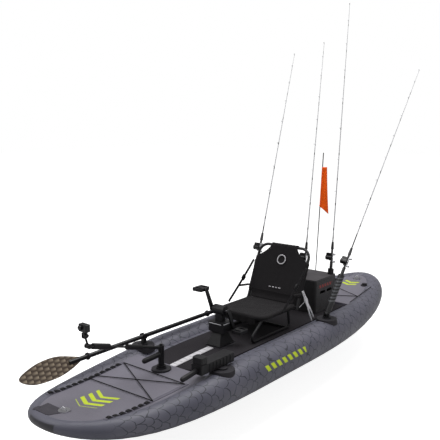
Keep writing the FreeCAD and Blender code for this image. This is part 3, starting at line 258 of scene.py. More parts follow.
def scale_lines(finish, girth, pitch):
    """Thin hand-drawn fish-scale arcs over the tube side."""
    wobble = finish.math("MULTIPLY", finish.math("SUBTRACT", finish.noise(7.0, 2.0), 0.5), 1.15)
    drift = finish.math("MULTIPLY", finish.math("SUBTRACT", finish.noise(5.3, 2.0, (1, 1, 3)),
                                                0.5), 1.3)
    band = finish.math("ADD", finish.math("DIVIDE", finish.axis("Y"), pitch), wobble)
    row = finish.math("FLOOR", band)
    rise = finish.math("FRACT", band)
    shift = finish.math("MULTIPLY", finish.math("MODULO", finish.math("ABSOLUTE", row), 2.0), 0.5)
    around = finish.math("ADD", finish.math("MULTIPLY", girth, TUBE_RADIUS / (2 * pitch)), drift)
    side = finish.math("SUBTRACT", finish.math("FRACT", finish.math("ADD", around, shift)), 0.5)
    half_rise = finish.math("MULTIPLY", rise, 0.5)
    reach = finish.math("SQRT", finish.math("ADD", finish.math("MULTIPLY", side, side),
                                            finish.math("MULTIPLY", half_rise, half_rise)))
    gap = finish.math("ABSOLUTE", finish.math("SUBTRACT", reach, 0.5))
    width = finish.math("MULTIPLY_ADD", finish.noise(9.0, 2.0, (1, 1, 2)), 0.07, -0.008)
    return finish.step(finish.math("SUBTRACT", width, gap), -0.012, 0.012)


def side_dashes(skin, girth):
    """1 on slanted dashes along the port tube, amidships."""
    port = skin.step(skin.axis("X"), 0.3, 0.31)
    amidships = skin.between(skin.axis("Y"), -0.5, 0.0, 0.004)
    slant = skin.math("ADD", skin.axis("Y"), skin.math("MULTIPLY", girth, 0.06))
    band = skin.between(girth, 0.22, 0.56, 0.02)
    return skin.product(port, amidships, skin.dashes(slant, 0.066, 0.56), band)


def nose_guard(skin):
    """1 on the dark guard low round the nose."""
    middle = skin.between(skin.axis("X"), -0.105, 0.105, 0.004)
    forward = skin.step(skin.axis("Y"), -1.80, -1.81)
    low = skin.between(skin.axis("Z"), 0.15, 0.2, 0.004)
    return skin.product(middle, forward, low)


def hull_finish():
    """Coated fabric: scale print above the rub strake, nose guard, lime dashes amidships."""
    skin = Finish("hull_skin", HULL_GREY, roughness=0.5, sheen=0.1)
    girth = tube_girth(skin)
    lines = scale_lines(skin, girth, 0.054)
    printed = skin.math("MULTIPLY", skin.step(girth, -0.62, -0.5),
                        skin.between(skin.axis("Y"), -1.66, 1.78, 0.08))
    cloudy = skin.mix(skin.step(skin.noise(2.2, 3.0), 0.35, 0.7), HULL_GREY, LOW_GREY)
    tone = skin.mix(skin.step(girth, -0.9, -0.3), srgb(62, 62, 74), cloudy)
    base = skin.mix(skin.math("MULTIPLY", skin.math("MULTIPLY", lines, printed), 0.95), tone, INK)
    marked = skin.mix(side_dashes(skin, girth), base, LIME)
    skin.colour(skin.mix(nose_guard(skin), marked, GUARD_GREY))
    rub_strake = skin.between(girth, -0.52, -0.44, 0.01)
    skin.bump(skin.weave(0.0022), 0.0003, 0.25)
    skin.bump(skin.noise(3.0, 2.0), 0.006, 0.25)
    skin.bump(rub_strake, 0.0015, 0.8)
    return skin


def deck_finish():
    """Plain coated deck fabric with lime chevrons at the bow and the stern."""
    deck = Finish("deck_skin", DECK_GREY, roughness=0.48, sheen=0.1)
    spread = deck.math("ABSOLUTE", deck.axis("X"))
    slant = deck.math("SUBTRACT", deck.axis("Y"), deck.math("MULTIPLY", spread, 0.5))
    bow = deck.math("MULTIPLY", deck.between(slant, -1.655, -1.475, 0.002),
                    deck.between(spread, -0.1, 0.095, 0.002))
    stern = deck.math("MULTIPLY", deck.between(slant, 1.50, 1.62, 0.002),
                      deck.between(spread, -0.1, 0.07, 0.002))
    mark = deck.math("MULTIPLY", deck.dashes(slant, 0.06, 0.5), deck.math("MAXIMUM", bow, stern))
    cloudy = deck.mix(deck.step(deck.noise(2.0, 4.0), 0.3, 0.75), DECK_GREY, srgb(98, 95, 105))
    deck.colour(deck.mix(mark, cloudy, LIME))
    deck.bump(deck.weave(0.0022), 0.0003, 0.25)
    deck.bump(deck.noise(2.6, 2.0), 0.008, 0.3)
    return deck


def pad_finish():
    """Closed-cell foam with fine grooves running fore and aft, and painted shade darkening the
    grooves.
    """
    pad = Finish("pad_foam", FOAM_BLACK, roughness=0.9)
    pad.surface.inputs["Specular IOR Level"].default_value = 0.25
    groove = pad.math("POWER", pad.waves(pad.axis("X"), 0.016), 6.0)
    # painted shade: the grooves are darkened in the colour, as shade would fall in them
    pad.colour(pad.mix(pad.math("MULTIPLY", groove, 0.6), pad.wear(FOAM_BLACK, 0.15, 14),
                       srgb(20, 18, 21)))
    pad.bump(pad.math("MULTIPLY", groove, -1.0), 0.0015, 0.8)
    pad.bump(pad.noise(420, 2.0), 0.0004, 0.5)
    return pad


def ruler_finish():
    """White measuring strip with plain graduation marks."""
    strip = Finish("measuring_strip", srgb(205, 204, 206), roughness=0.45)
    along = strip.axis("Y")
    fine = strip.product(strip.dashes(along, 0.01, 0.2), strip.step(strip.axis("X"), 0.012, 0.013))
    coarse = strip.dashes(along, 0.05, 0.07)
    ticks = strip.math("MAXIMUM", fine, coarse)
    ground = strip.wear(srgb(196, 194, 198), 0.06, 30)
    strip.colour(strip.mix(strip.math("MULTIPLY", ticks, 0.85), ground, srgb(50, 50, 55)))
    return strip


def moulded(name, colour, roughness=0.5, grain=700, coat=0.0):
    """Moulded plastic with a fine texture and slight scuffs."""
    plastic = Finish(name, colour, roughness=roughness, coat=coat)
    plastic.surface.inputs["Specular IOR Level"].default_value = 0.35
    plastic.colour(plastic.wear(colour, 0.25, 22))
    plastic.roughness(plastic.math("MULTIPLY_ADD", plastic.noise(30, 4), 0.25, roughness - 0.12))
    plastic.bump(plastic.noise(grain, 2.0), 0.0002, 0.4)
    return plastic


def metal(name, colour, roughness=0.3):
    """Bare metal with fine brushing."""
    bare = Finish(name, colour, roughness=roughness, metallic=1.0)
    brushing = bare.noise(260, 4, (1, 14, 14))
    bare.roughness(bare.math("MULTIPLY_ADD", brushing, 0.25, roughness - 0.1))
    bare.bump(brushing, 0.0001, 0.2)
    return bare


def fabric(name, colour, pitch=0.0024, sheen=0.03):
    """Woven cloth with thread relief and a painted highlight on the raised threads."""
    cloth = Finish(name, colour, roughness=0.85, sheen=sheen)
    cloth.surface.inputs["Specular IOR Level"].default_value = 0.2
    threads = cloth.weave(pitch)
    # painted highlight: the raised threads take a lighter copy of the cloth colour
    lit = tuple(c * 1.6 for c in colour[:3]) + (1.0,)
    cloth.colour(cloth.mix(cloth.math("MULTIPLY", threads, 0.35), cloth.wear(colour, 0.18, 8), lit))
    cloth.bump(threads, 0.0006, 0.7)
    return cloth


def crate_finish():
    """Black crate cloth over a stiff shell, with plain red dashes near the top, port side."""
    shell = Finish("crate_shell", CRATE_BLACK, roughness=0.7, sheen=0.15)
    low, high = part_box("crate_body")
    below_rim = shell.math("SUBTRACT", high.z, shell.axis("Z"))
    place = shell.product(shell.between(below_rim, 0.040, 0.066, 0.001),
                          shell.between(shell.axis("Y"), low.y + 0.05, high.y - 0.07, 0.002),
                          shell.step(shell.axis("X"), high.x - 0.006, high.x - 0.005))
    slant = shell.math("ADD", shell.axis("Y"), shell.math("MULTIPLY", shell.axis("Z"), 0.4))
    mark = shell.product(place, shell.dashes(slant, 0.04, 0.6))
    shell.colour(shell.mix(mark, shell.wear(CRATE_BLACK, 0.3, 14), srgb(140, 32, 30)))
    shell.bump(shell.weave(0.0026), 0.0005, 0.6)
    return shell


def holder_finish(node):
    """Black holder tube with pale slats moulded across its upper part."""
    tube = Finish(node + "_finish", HOLDER_BLACK, roughness=0.4)
    low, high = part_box(node)
    slats = tube.product(tube.dashes(tube.axis("Z"), 0.024, 0.42),
                         tube.between(tube.axis("Z"), low.z + 0.10, high.z - 0.03, 0.004))
    tube.colour(tube.mix(tube.math("MULTIPLY", slats, 0.8), tube.wear(HOLDER_BLACK, 0.3, 20),
                         srgb(92, 94, 98)))
    tube.bump(slats, 0.0012, 0.8)
    return tube


def badge_finish():
    """Pale printed ring on cloth."""
    badge = Finish("badge_print", srgb(180, 178, 180), roughness=0.7)
    badge.colour(badge.wear(srgb(176, 174, 178), 0.12, 40))
    badge.bump(badge.weave(0.0024), 0.0004, 0.5)
    return badge


def rod_finish(node):
    """Black foam grip, pale tapered blank with dark guide wraps."""
    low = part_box(node)[0].z
    rod = Finish(node + "_finish", srgb(180, 180, 182), roughness=0.3, coat=0.4)
    height = rod.math("SUBTRACT", rod.axis("Z"), low)
    wraps = rod.dashes(height, 0.21, 0.1)
    blank = rod.mix(wraps, srgb(186, 186, 190), srgb(26, 26, 28))
    rod.colour(rod.mix(rod.step(height, 0.56, 0.6), srgb(30, 29, 31), blank))
    return rod


def blade_finish():
    """Tiled brown print on the paddle blades."""
    blade = Finish("blade_print", srgb(120, 105, 92), roughness=0.35, coat=0.3)
    rows = blade.math("DIVIDE", blade.axis("Y"), 0.042)
    shift = blade.math("MULTIPLY", blade.math("FLOOR", rows), 0.5)
    across = blade.math("ADD", blade.math("DIVIDE", blade.axis("Z"), 0.026), shift)
    ramp = blade.math("MULTIPLY", blade.math("FRACT", rows), blade.waves(across, 1.0))
    blade.colour(blade.mix(ramp, srgb(74, 61, 52), srgb(176, 160, 138)))
    return blade


FINISHES = {
    "plastic": moulded("black_plastic", BLACK, 0.45),
    "base": moulded("base_rubber", srgb(34, 32, 37), 0.6),
    "gloss": moulded("gloss_plastic", srgb(14, 13, 16), 0.3, 900, coat=0.1),
    "coat": moulded("powder_coat", srgb(17, 16, 19), 0.4, 1500),
    "steel": metal("steel", srgb(190, 190, 194)),
    "alloy": metal("alloy", srgb(165, 165, 168), 0.35),
    "cloth": fabric("seat_cloth", CLOTH_BLACK),
    "webbing": fabric("webbing", srgb(24, 23, 25), 0.003),
    "thread": fabric("thread", srgb(84, 80, 84), 0.0008),
    "flag": fabric("flag_cloth", srgb(240, 92, 12), 0.0016),
    "badge": badge_finish(),
    # pale strips that serve as painted highlights on the drive box's edges
    "light": moulded("drive_box_highlight_paint", srgb(190, 190, 194), 0.35),
}


def paint_nodes():
    """Finishes and smooth shading of all CAD nodes."""
    plastic, gloss, coat = FINISHES["plastic"], FINISHES["gloss"], FINISHES["coat"]
    paint(hull_finish(), "port_side_tube", "starboard_side_tube", "floor_chamber")
    paint(deck_finish(), "bow_deck_panel", "stern_deck_panel")
    paint(moulded("nose_patch", srgb(58, 55, 62), 0.6, 500), "nose_patches")
    paint(moulded("webbing_base", srgb(90, 88, 98), 0.7, 500), "bow_webbing")
    paint(pad_finish(), "cockpit_pad")
    paint(ruler_finish(), "measuring_strip")
    paint(FINISHES["base"], "mount_bases", "drive_well_collar", "inflation_valves",
          "paddle_drip_rings")
    paint(FINISHES["steel"], "tow_rings", "drive_shaft", "crank_axle")
    paint(moulded("satin_silver", srgb(222, 222, 226), 0.4), "fishing_pliers")
    for holder in ("port_aft_holder", "starboard_aft_holder"):
        paint(holder_finish(holder), holder)
    paint(coat, "seat_base_frame", "seat_leg_frame", "seat_back_frame", "holder_forks",
          "bow_post", "crank_arms", "drive_column", "lower_unit")
    paint(plastic, "drive_box", "drive_head", "port_pedal", "starboard_pedal", "rod_tubes",
          "paddle_clip", "camera_lower_arm", "camera_upper_arm", "gear_case", "propeller")
    paint(gloss, "camera", "paddle_shaft", "flag_pole")
    for rod in RODS:
        paint(gloss, "reel_" + rod)
        paint(FINISHES["alloy"], "reel_handle_" + rod)
        paint(rod_finish("rod_" + rod), "rod_" + rod)
    paint(moulded("grey_lid", srgb(66, 63, 66), 0.6, 500), "crate_lid")
    paint(crate_finish(), "crate_body")
    paint(FINISHES["cloth"], "seat_sling", "seat_back_fabric")
    paint(FINISHES["webbing"], "seat_straps", "bungee_cords")
    paint(FINISHES["flag"], "flag")
    paint(blade_finish(), "paddle_blades")
    for node in NODES:
        smooth(node)


# ---------------------------------------------------------------- mesh helpers

UP = Vector((0, 0, 1))
ACROSS = Vector((1, 0, 0))
SIDES = ((1, "port"), (-1, "starboard"))


def mesh_piece(name, points, faces, finish):
    """New object from points and faces, with one finish."""
    data = bpy.data.meshes.new(name)
    data.from_pydata([tuple(p) for p in points], [], faces)
    data.validate()
    piece = bpy.data.objects.new(name, data)
    bpy.context.scene.collection.objects.link(piece)
    work = bmesh.new()
    work.from_mesh(data)
    bmesh.ops.recalc_face_normals(work, faces=work.faces)
    work.to_mesh(data)
    work.free()
    data.shade_smooth()
    paint(finish, piece)
    return piece


def bake(piece):
    """Replaces a piece's mesh with the result of its modifiers."""
    graph = bpy.context.evaluated_depsgraph_get()
    mesh = bpy.data.meshes.new_from_object(piece.evaluated_get(graph))
    piece.modifiers.clear()
    piece.data = mesh
    return piece


def thicken(piece, thickness, side=-1.0):
    """Gives an open sheet a real thickness."""
    solid = piece.modifiers.new("thickness", "SOLIDIFY")
    solid.thickness = thickness
    solid.offset = side
    return bake(piece)


def grid_faces(rows, columns, closed=False):
    """Quads between rows of points, joined end to start when closed."""
    faces = []
    for row in range(rows - 1):
        for column in range(columns if closed else columns - 1):
            after = (column + 1) % columns
            faces.append((row * columns + column, row * columns + after,
                          (row + 1) * columns + after, (row + 1) * columns + column))
    return faces


def sweep(name, paths, outline, finish):
    """Closed bars with a small outline swept along each path of (point, side, up) frames."""
    points = []
    faces = []
    for path in paths:
        start = len(points)
        count = len(outline)
        for place, side, lift in path:
            points += [place + side * u + lift * v for u, v in outline]
        faces += [tuple(start + i for i in face)
                  for face in grid_faces(len(path), count, closed=True)]
        faces.append(tuple(start + i for i in range(count)))
        faces.append(tuple(start + (len(path) - 1) * count + i for i in range(count)))
    return mesh_piece(name, points, faces, finish)


def flat_outline(width, thickness):
    """Outline of a flat strap with softened edges."""
    u, v = width / 2, thickness / 2
    return [(-u, 0), (-u * 0.94, v), (0, v * 1.15), (u * 0.94, v), (u, 0), (u * 0.94, -v),
            (0, -v * 1.15), (-u * 0.94, -v)]


def frames_along(places, side):
    """Frames for sweep, with the strap's width held along side."""
    path = []
    for index, place in enumerate(places):
        before = places[max(index - 1, 0)]
        after = places[min(index + 1, len(places) - 1)]
        run = (after - before).normalized()
        lift = run.cross(side).normalized()
        path.append((place, lift.cross(run).normalized(), lift))
    return path


def drape(piece, pinned, cap, gravity=1.0, frames=18):
    """Lets a sheet hang by cloth simulation, no point moving farther than cap."""
    rest = [vertex.co.copy() for vertex in piece.data.vertices]
    group = piece.vertex_groups.new(name="held")
    group.add(pinned, 1.0, "REPLACE")
    cloth = piece.modifiers.new("drape", "CLOTH")
    cloth.settings.quality = 6
    cloth.settings.mass = 0.02
    cloth.settings.tension_stiffness = 12
    cloth.settings.compression_stiffness = 12
    cloth.settings.bending_stiffness = 0.3
    cloth.settings.effector_weights.gravity = gravity
    cloth.settings.vertex_group_mass = group.name
    for number in range(1, frames + 1):
        bpy.context.scene.frame_set(number)
    bake(piece)
    bpy.context.scene.frame_set(1)
    piece.vertex_groups.clear()
    for vertex, start in zip(piece.data.vertices, rest):
        move = vertex.co - start
        if move.length > cap:
            vertex.co = start + move * (cap / move.length)
    return piece


def over(node, x, y):
    """True where a line straight down meets a node."""
    return NODES[node].ray_cast(Vector((x, y, 1.0)), -UP)[0]


def rests_on(node, x, y):
    """Highest point of a node's surface at a place."""
    hit, place, _, _ = NODES[node].ray_cast(Vector((x, y, 1.0)), -UP)
    if not hit:
        raise ValueError("%s has no surface at %.3f %.3f" % (node, x, y))
    return place


# ---------------------------------------------------------------- seat cloth

def rounded_loop(half_width, half_length, corner, count=96):
    """Points and outward directions round a rounded rectangle, starting at the port side."""
    arc = corner * math.pi / 2
    flats = (2 * (half_length - corner), 2 * (half_width - corner)) * 2
    total = sum(flats) + 4 * arc
    loop = []
    for index in range(count):
        along = total * index / count
        for quarter in range(4):
            angle = quarter * math.pi / 2
            out = Vector((math.cos(angle), math.sin(angle), 0))
            forward = Vector((-math.sin(angle), math.cos(angle), 0))
            reach, flat = ((half_width, flats[0]) if quarter % 2 == 0
                           else (half_length, flats[1]))
            if along <= flat:
                loop.append((out * reach + forward * (along - flat / 2), out))
                break
            along -= flat
            if along <= arc:
                turn = along / corner
                centre = out * (reach - corner) + forward * (flat / 2)
                aim = out * math.cos(turn) + forward * math.sin(turn)
                loop.append((centre + aim * corner, aim))
                break
            along -= arc
    return loop


def rest_on_bar(sling, count, centre, half_length):
    """Lifts the first count points of the panel clear of the frame's cross bar."""
    steps = [centre.y + half_length * (i / 100 - 0.8) for i in range(161)]
    seen = [rests_on("seat_base_frame", 0, y) for y in steps if over("seat_base_frame", 0, y)]
    top = max(place.z for place in seen) + 0.003
    middle = sum(place.y for place in seen) / len(seen)
    for index in range(count):
        point = sling.data.vertices[index].co
        slack = 0.15 * max(0.0, abs(point.y - middle) - 0.016)
        point.z = max(point.z, top - slack)


def build_sling():
    """Seat panel pulled over the loop's tube, hemmed under it and sagging between the rails."""
    rings, turns = 14, 9
    low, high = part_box("seat_base_frame")
    panel_low, panel_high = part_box("seat_sling")
    tube = (high.z - low.z) / 2
    centre = Vector((0, (low.y + high.y) / 2, high.z - tube))
    half_width = (panel_high.x - panel_low.x) / 2 - 0.011
    half_length = (high.y - low.y) / 2 - tube
    loop = rounded_loop(half_width, half_length, 0.06)
    wrap = tube + 0.0034
    points = []
    for ring in range(1, rings + 1):
        for place, out in loop:
            points.append(centre + place * (ring / rings) + UP * wrap)
    for turn in range(1, turns + 1):
        angle = math.radians(165) * turn / turns
        for place, out in loop:
            points.append(centre + place + (out * math.sin(angle) + UP * math.cos(angle)) * wrap)
    count = len(loop)
    faces = grid_faces(rings + turns, count, closed=True)
    faces.append(tuple(range(count)))
    sling = mesh_piece("seat_sling_cloth", points, faces, FINISHES["cloth"])
    free = (rings - 1) * count
    for index in range(free):
        share = (index // count + 1) / rings
        sling.data.vertices[index].co.z -= 0.010 * (1 - share ** 2)
    drape(sling, list(range(free, len(points))), 0.008)
    rest_on_bar(sling, free, centre, half_length)
    thicken(sling, 0.0018)
    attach(sling, "hull")
    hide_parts("seat_sling")
    seam = [centre + place * 0.93 + UP * (wrap - 0.0012) for place, _ in loop]
    stitches(seam, "sling_stitching", "hull")
    return centre, half_width, half_length, wrap


def stitches(places, name, body, pitch=3):
    """Short thread stitches laid between the given places."""
    paths = []
    for first, second in zip(places[::pitch], places[1::pitch]):
        run = (second - first).normalized()
        side = run.cross(UP) if abs(run.z) < 0.9 else run.cross(ACROSS)
        paths.append([(first, side.normalized(), UP), (second, side.normalized(), UP)])
    outline = [(math.cos(a) * 0.0007, math.sin(a) * 0.0007)
               for a in (i * math.pi / 3 for i in range(6))]
    row = sweep(name, paths, outline, FINISHES["thread"])
    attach(row, body)


def build_valance(centre, half_width, half_length, wrap):
    """Loose flap that hangs from the front of the seat panel."""
    front = centre - Vector((0, half_length + wrap + 0.003, 0))
    depth, inset = 0.052, 0.055
    rows, columns = 14, 50
    points = []
    for row in range(rows):
        drop = depth * row / (rows - 1)
        for column in range(columns):
            u = 2 * column / (columns - 1) - 1
            ripple = 0.003 * math.sin(u * 15) * row / (rows - 1)
            points.append(front + Vector((u * (half_width - inset), ripple, 0.004 - drop)))
    flap = mesh_piece("seat_front_flap", points, grid_faces(rows, columns), FINISHES["cloth"])
    thicken(flap, 0.002, 0.0)
    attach(flap, "hull")


class BackPlane:
    """Places in the plane of the back rest, from its hinge and the hoop's box."""

    tube_radius = 0.011
    half_width = 0.235

    def __init__(self):
        hinge = next(j for j in frame["record"]["behaviour"]["joints"]
                     if j["name"] == "seat_recline")
        self.pivot = Vector(hinge["pos_m"])
        low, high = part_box("seat_back_frame")
        top = Vector((0, high.y, high.z))
        lean = math.atan2(top.y - self.pivot.y - self.tube_radius,
                          top.z - self.pivot.z - self.tube_radius)
        self.up = Vector((0, math.sin(lean), math.cos(lean)))
        self.forward = Vector((0, -math.cos(lean), math.sin(lean)))
        self.length = (top - self.pivot).dot(self.up) - self.tube_radius

    def at(self, x, distance, offset=0.0):
        """Place at a distance above the hinge and an offset in front of the plane."""
        return self.pivot + ACROSS * x + self.up * distance + self.forward * offset


def sleeve(plane, name, start, end, outward, finish):
    """Hem of the back cloth, wrapped round a straight run of the hoop."""
    wrap = 0.0135
    rows, turns = 24, 12
    points = []
    for row in range(rows):
        place = start.lerp(end, row / (rows - 1))
        slack = 0.0006 * math.sin(row * 2.1)
        for turn in range(turns):
            angle = math.radians(-8 + 205 * turn / (turns - 1))
            points.append(place + (plane.forward * math.cos(angle)
                                   + outward * math.sin(angle)) * (wrap + slack))
    hem = mesh_piece(name, points, grid_faces(rows, turns), finish)
    thicken(hem, 0.0015, 1.0)
    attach(hem, "seat_back")


def build_back():
    """Back panel hung between the sides of the hoop, cut away at its upper corners."""
    plane = BackPlane()
    half, low, top, cut = plane.half_width, 0.07, plane.length, 0.112
    rows, columns = 44, 44
    points = []
    held = []
    for row in range(rows):
        v = low + (top - low) * row / (rows - 1)
        past = max(0.0, v - (top - cut)) / cut
        width = half - cut * (1 - (1 - past) ** 1.7)
        for column in range(columns):
            u = 2 * column / (columns - 1) - 1
            dish = 0.010 * (1 - u * u) * math.sin(math.pi * min(1.0, (v - low) / (top - low)))
            if column in (0, columns - 1) or row == rows - 1:
                held.append(len(points))
            points.append(plane.at(u * width, v, 0.0142 - dish))
    cloth = mesh_piece("seat_back_cloth", points, grid_faces(rows, columns), FINISHES["cloth"])
    drape(cloth, held, 0.006)
    thicken(cloth, 0.0018, 0.0)
    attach(cloth, "seat_back")
    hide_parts("seat_back_fabric")
    for side, tag in SIDES:
        sleeve(plane, "back_sleeve_" + tag, plane.at(side * half, low),
               plane.at(side * half, top - cut), ACROSS * side, FINISHES["cloth"])
        line = [plane.at(side * (half - 0.02), low + (top - cut - low) * i / 90, 0.0155)
                for i in range(91)]
        stitches(line, "back_stitching_" + tag, "seat_back", 3)
    sleeve(plane, "back_sleeve_top", plane.at(cut - half, top), plane.at(half - cut, top),
           plane.up, FINISHES["cloth"])
    build_badge(plane)
    return plane


def build_badge(plane):
    """Plain ring printed high on the back, and a short row of dashes low down."""
    radius, height, segments = 0.036, plane.length - 0.115, 48
    ring = []
    for index in range(segments + 1):
        angle = 2 * math.pi * index / segments
        place = plane.at(radius * math.cos(angle), height + radius * math.sin(angle), 0.0125)
        side = (plane.up * math.sin(angle) + ACROSS * math.cos(angle)).normalized()
        ring.append((place, side, plane.forward))
    paths = [ring]
    for index in range(4):
        first = plane.at(0.03 * index - 0.055, 0.115, 0.0145)
        paths.append([(first, plane.up, plane.forward),
                      (first + ACROSS * 0.018, plane.up, plane.forward)])
    outline = [(-0.004, -0.002), (0.004, -0.002), (0.004, 0.0012), (-0.004, 0.0012)]
    badge = sweep("back_badge", paths, outline, FINISHES["badge"])
    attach(badge, "seat_back")


def build_lumbar(plane, seat):
    """Cloth that joins the seat panel's rear edge to the foot of the back panel."""
    centre, half_width, half_length, wrap = seat
    rows, columns = 16, 40
    foot = centre + Vector((0, half_length - 0.03, wrap + 0.004))
    head = plane.at(0, 0.082, 0.0185)
    foot_width, head_width = half_width * 0.93, plane.half_width * 0.95
    points = []
    for row in range(rows):
        t = row / (rows - 1)
        bow = 0.016 * math.sin(math.pi * t)
        place = Vector((0, foot.y, foot.z)).lerp(Vector((0, head.y, head.z)), t)
        width = foot_width + (head_width - foot_width) * t
        for column in range(columns):
            u = 2 * column / (columns - 1) - 1
            points.append(place + Vector((u * width, 0.4 * bow, -bow * 0.3)))
    cloth = mesh_piece("lumbar_cloth", points, grid_faces(rows, columns), FINISHES["cloth"])
    thicken(cloth, 0.002, 0.0)
    top = plane.at(0, 0.09)
    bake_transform(cloth)


def build_strap(side, tag, bottom, top):
    """Strap from the seat rail to the hoop, sagging a little."""
    places = [bottom.lerp(top, i / 24) - UP * 0.006 * math.sin(math.pi * i / 24)
              for i in range(25)]
    webbing = frames_along(places, (top - bottom).cross(ACROSS).normalized())
    band = sweep("recline_strap_" + tag, [webbing], flat_outline(0.025, 0.0026),
                 FINISHES["webbing"])
    if side > 0:
        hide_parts("seat_straps")
    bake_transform(band)
    return places


def build_buckle(places, tag):
    """Ladder buckle on a strap: three rungs between two rails."""
    middle = places[14]
    run = (places[15] - places[13]).normalized()
    rise = run.cross(ACROSS).normalized()
    bars = []
    for offset in (-0.016, 0.0, 0.016):
        bars.append([(middle + run * offset - rise * 0.018, run, ACROSS),
                     (middle + run * offset + rise * 0.018, run, ACROSS)])
    for edge in (-0.017, 0.017):
        bars.append([(middle + rise * edge - run * 0.019, rise, ACROSS),
                     (middle + rise * edge + run * 0.019, rise, ACROSS)])
    buckle = sweep("strap_buckle_" + tag, bars, flat_outline(0.005, 0.009), FINISHES["plastic"])
    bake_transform(buckle)


def build_side_pad(plane, x, tag, bottom, top):
    """Flat pad strip between the strap and the foot of the hoop."""
    front = bottom.lerp(top, 0.36) + Vector((0, 0.02, 0))
    rear = plane.at(x, 0.10, 0.012)
    places = [front.lerp(rear, i / 12) for i in range(13)]
    pad = sweep("side_pad_" + tag, [frames_along(places, ACROSS)], flat_outline(0.022, 0.012),
                FINISHES["cloth"])
    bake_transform(pad)


def build_straps(plane):
    """Strap, buckle and side pad on each side of the seat."""
    low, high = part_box("seat_straps")
    for side, tag in SIDES:
        x = side * (high.x - 0.006)
        bottom = Vector((x, low.y + 0.012, low.z + 0.012))
        top = plane.at(x, 0.305, 0.026)
        places = build_strap(side, tag, bottom, top)
        build_buckle(places, tag)
        build_side_pad(plane, x, tag, bottom, top)


# ---------------------------------------------------------------- hull dressing

def build_loops():
    """Webbing loops sewn along the strips beside the bow deck."""
    front, rear = Vector((0.258, -1.69, 0)), Vector((0.283, -1.052, 0))
    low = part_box("bow_webbing")[0]
    pitch, gap, bulge, steps = 0.046, 0.012, 0.006, 8
    for (side, tag), last in zip(SIDES, (-1.352, -1.06)):
        paths = []
        y = low.y + 0.012
        while y + pitch < last:
            x = side * (front.x + (rear.x - front.x) * (y - front.y) / (rear.y - front.y))
            path = []
            for step in range(steps + 1):
                share = step / steps
                place = rests_on("bow_webbing", x, y + 0.003 + (pitch - gap) * share)
                path.append(place + UP * (0.0012 + bulge * math.sin(math.pi * share) ** 0.5))
            paths.append(frames_along(path, ACROSS))
            y += pitch
        loops = sweep("webbing_loops_" + tag, paths, flat_outline(0.024, 0.002),
                      FINISHES["webbing"])
        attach(loops, "hull")


def build_flag():
    """Safety flag with soft folds, its luff along the pole and its low corner pulled up."""
    low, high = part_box("flag")
    rows, columns = 36, 22
    top_reach, foot_reach = 0.046, math.hypot(high.x - low.x, 0.052)
    outward = Vector((0.7071, 0.7071, 0))
    sideways = Vector((0.7071, -0.7071, 0))
    corner_rise = 0.075 * (high.z - low.z) / 0.41
    points = []
    held = []
    for row in range(rows):
        drop = row / (rows - 1)
        reach = top_reach + (foot_reach - top_reach) * drop
        z = high.z - (high.z - low.z) * drop
        luff = Vector((low.x + 0.0015, high.y - 0.068 - 0.0338 * drop, z))
        for column in range(columns):
            s = column / (columns - 1)
            lift = corner_rise * max(0.0, drop - 0.80) / 0.20 * (1 - s)
            fold = 0.006 * math.sin(s * 9 + drop * 3) * s
            points.append(luff + outward * (reach * s) + sideways * fold + UP * lift)
            if column == 0:
                held.append(len(points) - 1)
    cloth = mesh_piece("flag_cloth", points, grid_faces(rows, columns), FINISHES["flag"])
    drape(cloth, held, 0.006)
    thicken(cloth, 0.0012, 0.0)
    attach(cloth, "hull")
    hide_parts("flag")


def build_drive_box_highlights():
    """Painted highlights: pale strips along the front and port edges of the drive box's top,
    standing in for the light its edges catch.
    """
    low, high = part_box("drive_box")
    rise, inset, proud = high.z - 0.010, 0.012, 0.001
    front = [(Vector((x, low.y - proud, rise)), UP, ACROSS.cross(UP))
             for x in (low.x + inset, high.x - inset)]
    port = [(Vector((high.x + proud, y, rise)), UP, ACROSS)
            for y in (low.y + inset, high.y - inset)]
    # painted highlights laid on the box as pale strips
    highlight_strips = sweep("drive_box_painted_highlights", [front, port], flat_outline(0.006, 0.0024), FINISHES["light"])
    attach(highlight_strips, "hull")


# ---------------------------------------------------------------- stage

def make_floor():
    """Pale studio floor that the camera sees as near white."""
    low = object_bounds()[0].z
    bpy.ops.mesh.primitive_plane_add(size=60, location=(0, 0, low - 0.004))
    floor = bpy.context.object
    floor.name = "studio_floor"
    ground = Finish("studio_floor", (0.55, 0.55, 0.55, 1.0), roughness=0.9)
    ground.surface.inputs["Emission Color"].default_value = (1, 1, 1, 1)
    seen_directly = ground.node("ShaderNodeLightPath").outputs["Is Camera Ray"]
    ground.feed(ground.surface.inputs["Emission Strength"],
                ground.math("MULTIPLY", seen_directly, 0.86))
    paint(ground, floor)


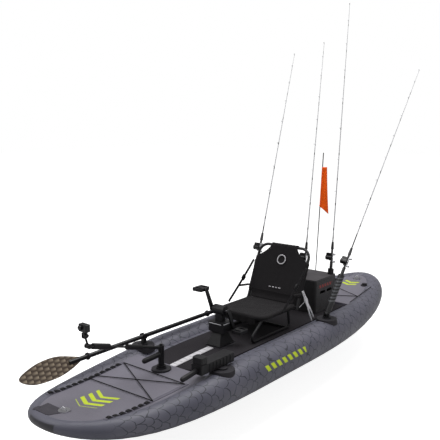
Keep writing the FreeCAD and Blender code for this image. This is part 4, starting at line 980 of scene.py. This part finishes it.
def make_world():
    """Soft white surround, pure white where the camera looks straight at it."""
    world = bpy.data.worlds.new("studio")
    bpy.context.scene.world = world
    world.use_nodes = True
    tree = world.node_tree
    surround = tree.nodes["Background"]
    surround.inputs["Color"].default_value = (1, 1, 1, 1)
    surround.inputs["Strength"].default_value = 0.28
    seen = tree.nodes.new("ShaderNodeBackground")
    seen.inputs["Color"].default_value = (1, 1, 1, 1)
    paths = tree.nodes.new("ShaderNodeLightPath")
    blend = tree.nodes.new("ShaderNodeMixShader")
    tree.links.new(paths.outputs["Is Camera Ray"], blend.inputs[0])
    tree.links.new(surround.outputs[0], blend.inputs[1])
    tree.links.new(seen.outputs[0], blend.inputs[2])
    tree.links.new(blend.outputs[0], tree.nodes["World Output"].inputs["Surface"])


def make_lights():
    """Three large soft lights aimed at the middle of the boat."""
    for name, place, size, power in (("key", (-2.5, -4.5, 6.0), 5.0, 250),
                                     ("fill", (5.5, -1.5, 4.0), 4.0, 60),
                                     ("top", (0.0, 1.5, 6.5), 5.0, 360)):
        light = bpy.data.lights.new(name, "AREA")
        light.size = size
        light.energy = power
        lamp = bpy.data.objects.new(name, light)
        lamp.location = place
        aim = Vector((0, 0, 0.3)) - lamp.location
        lamp.rotation_euler = aim.to_track_quat("-Z", "Y").to_euler()
        bpy.context.scene.collection.objects.link(lamp)
    bpy.context.scene.view_settings.view_transform = "Standard"


def make_camera():
    """Camera off the port bow, looking a little down."""
    pitch, turn = -0.158, 0.682
    lens = bpy.data.cameras.new("camera_view")
    lens.lens = 53.7
    lens.sensor_width = 36
    camera = bpy.data.objects.new("camera_view", lens)
    camera.location = (2.845, -3.887, 1.822)
    camera.rotation_mode = "XYZ"
    camera.rotation_euler = (math.pi / 2 + pitch, 0.0, turn)
    bpy.context.scene.collection.objects.link(camera)
    bpy.context.scene.camera = camera


paint_nodes()
SEAT = build_sling()
build_valance(*SEAT)
BACK = build_back()
build_lumbar(BACK, SEAT)
build_straps(BACK)
build_loops()
build_flag()
build_drive_box_highlights()
make_floor()
make_world()
make_lights()
make_camera()
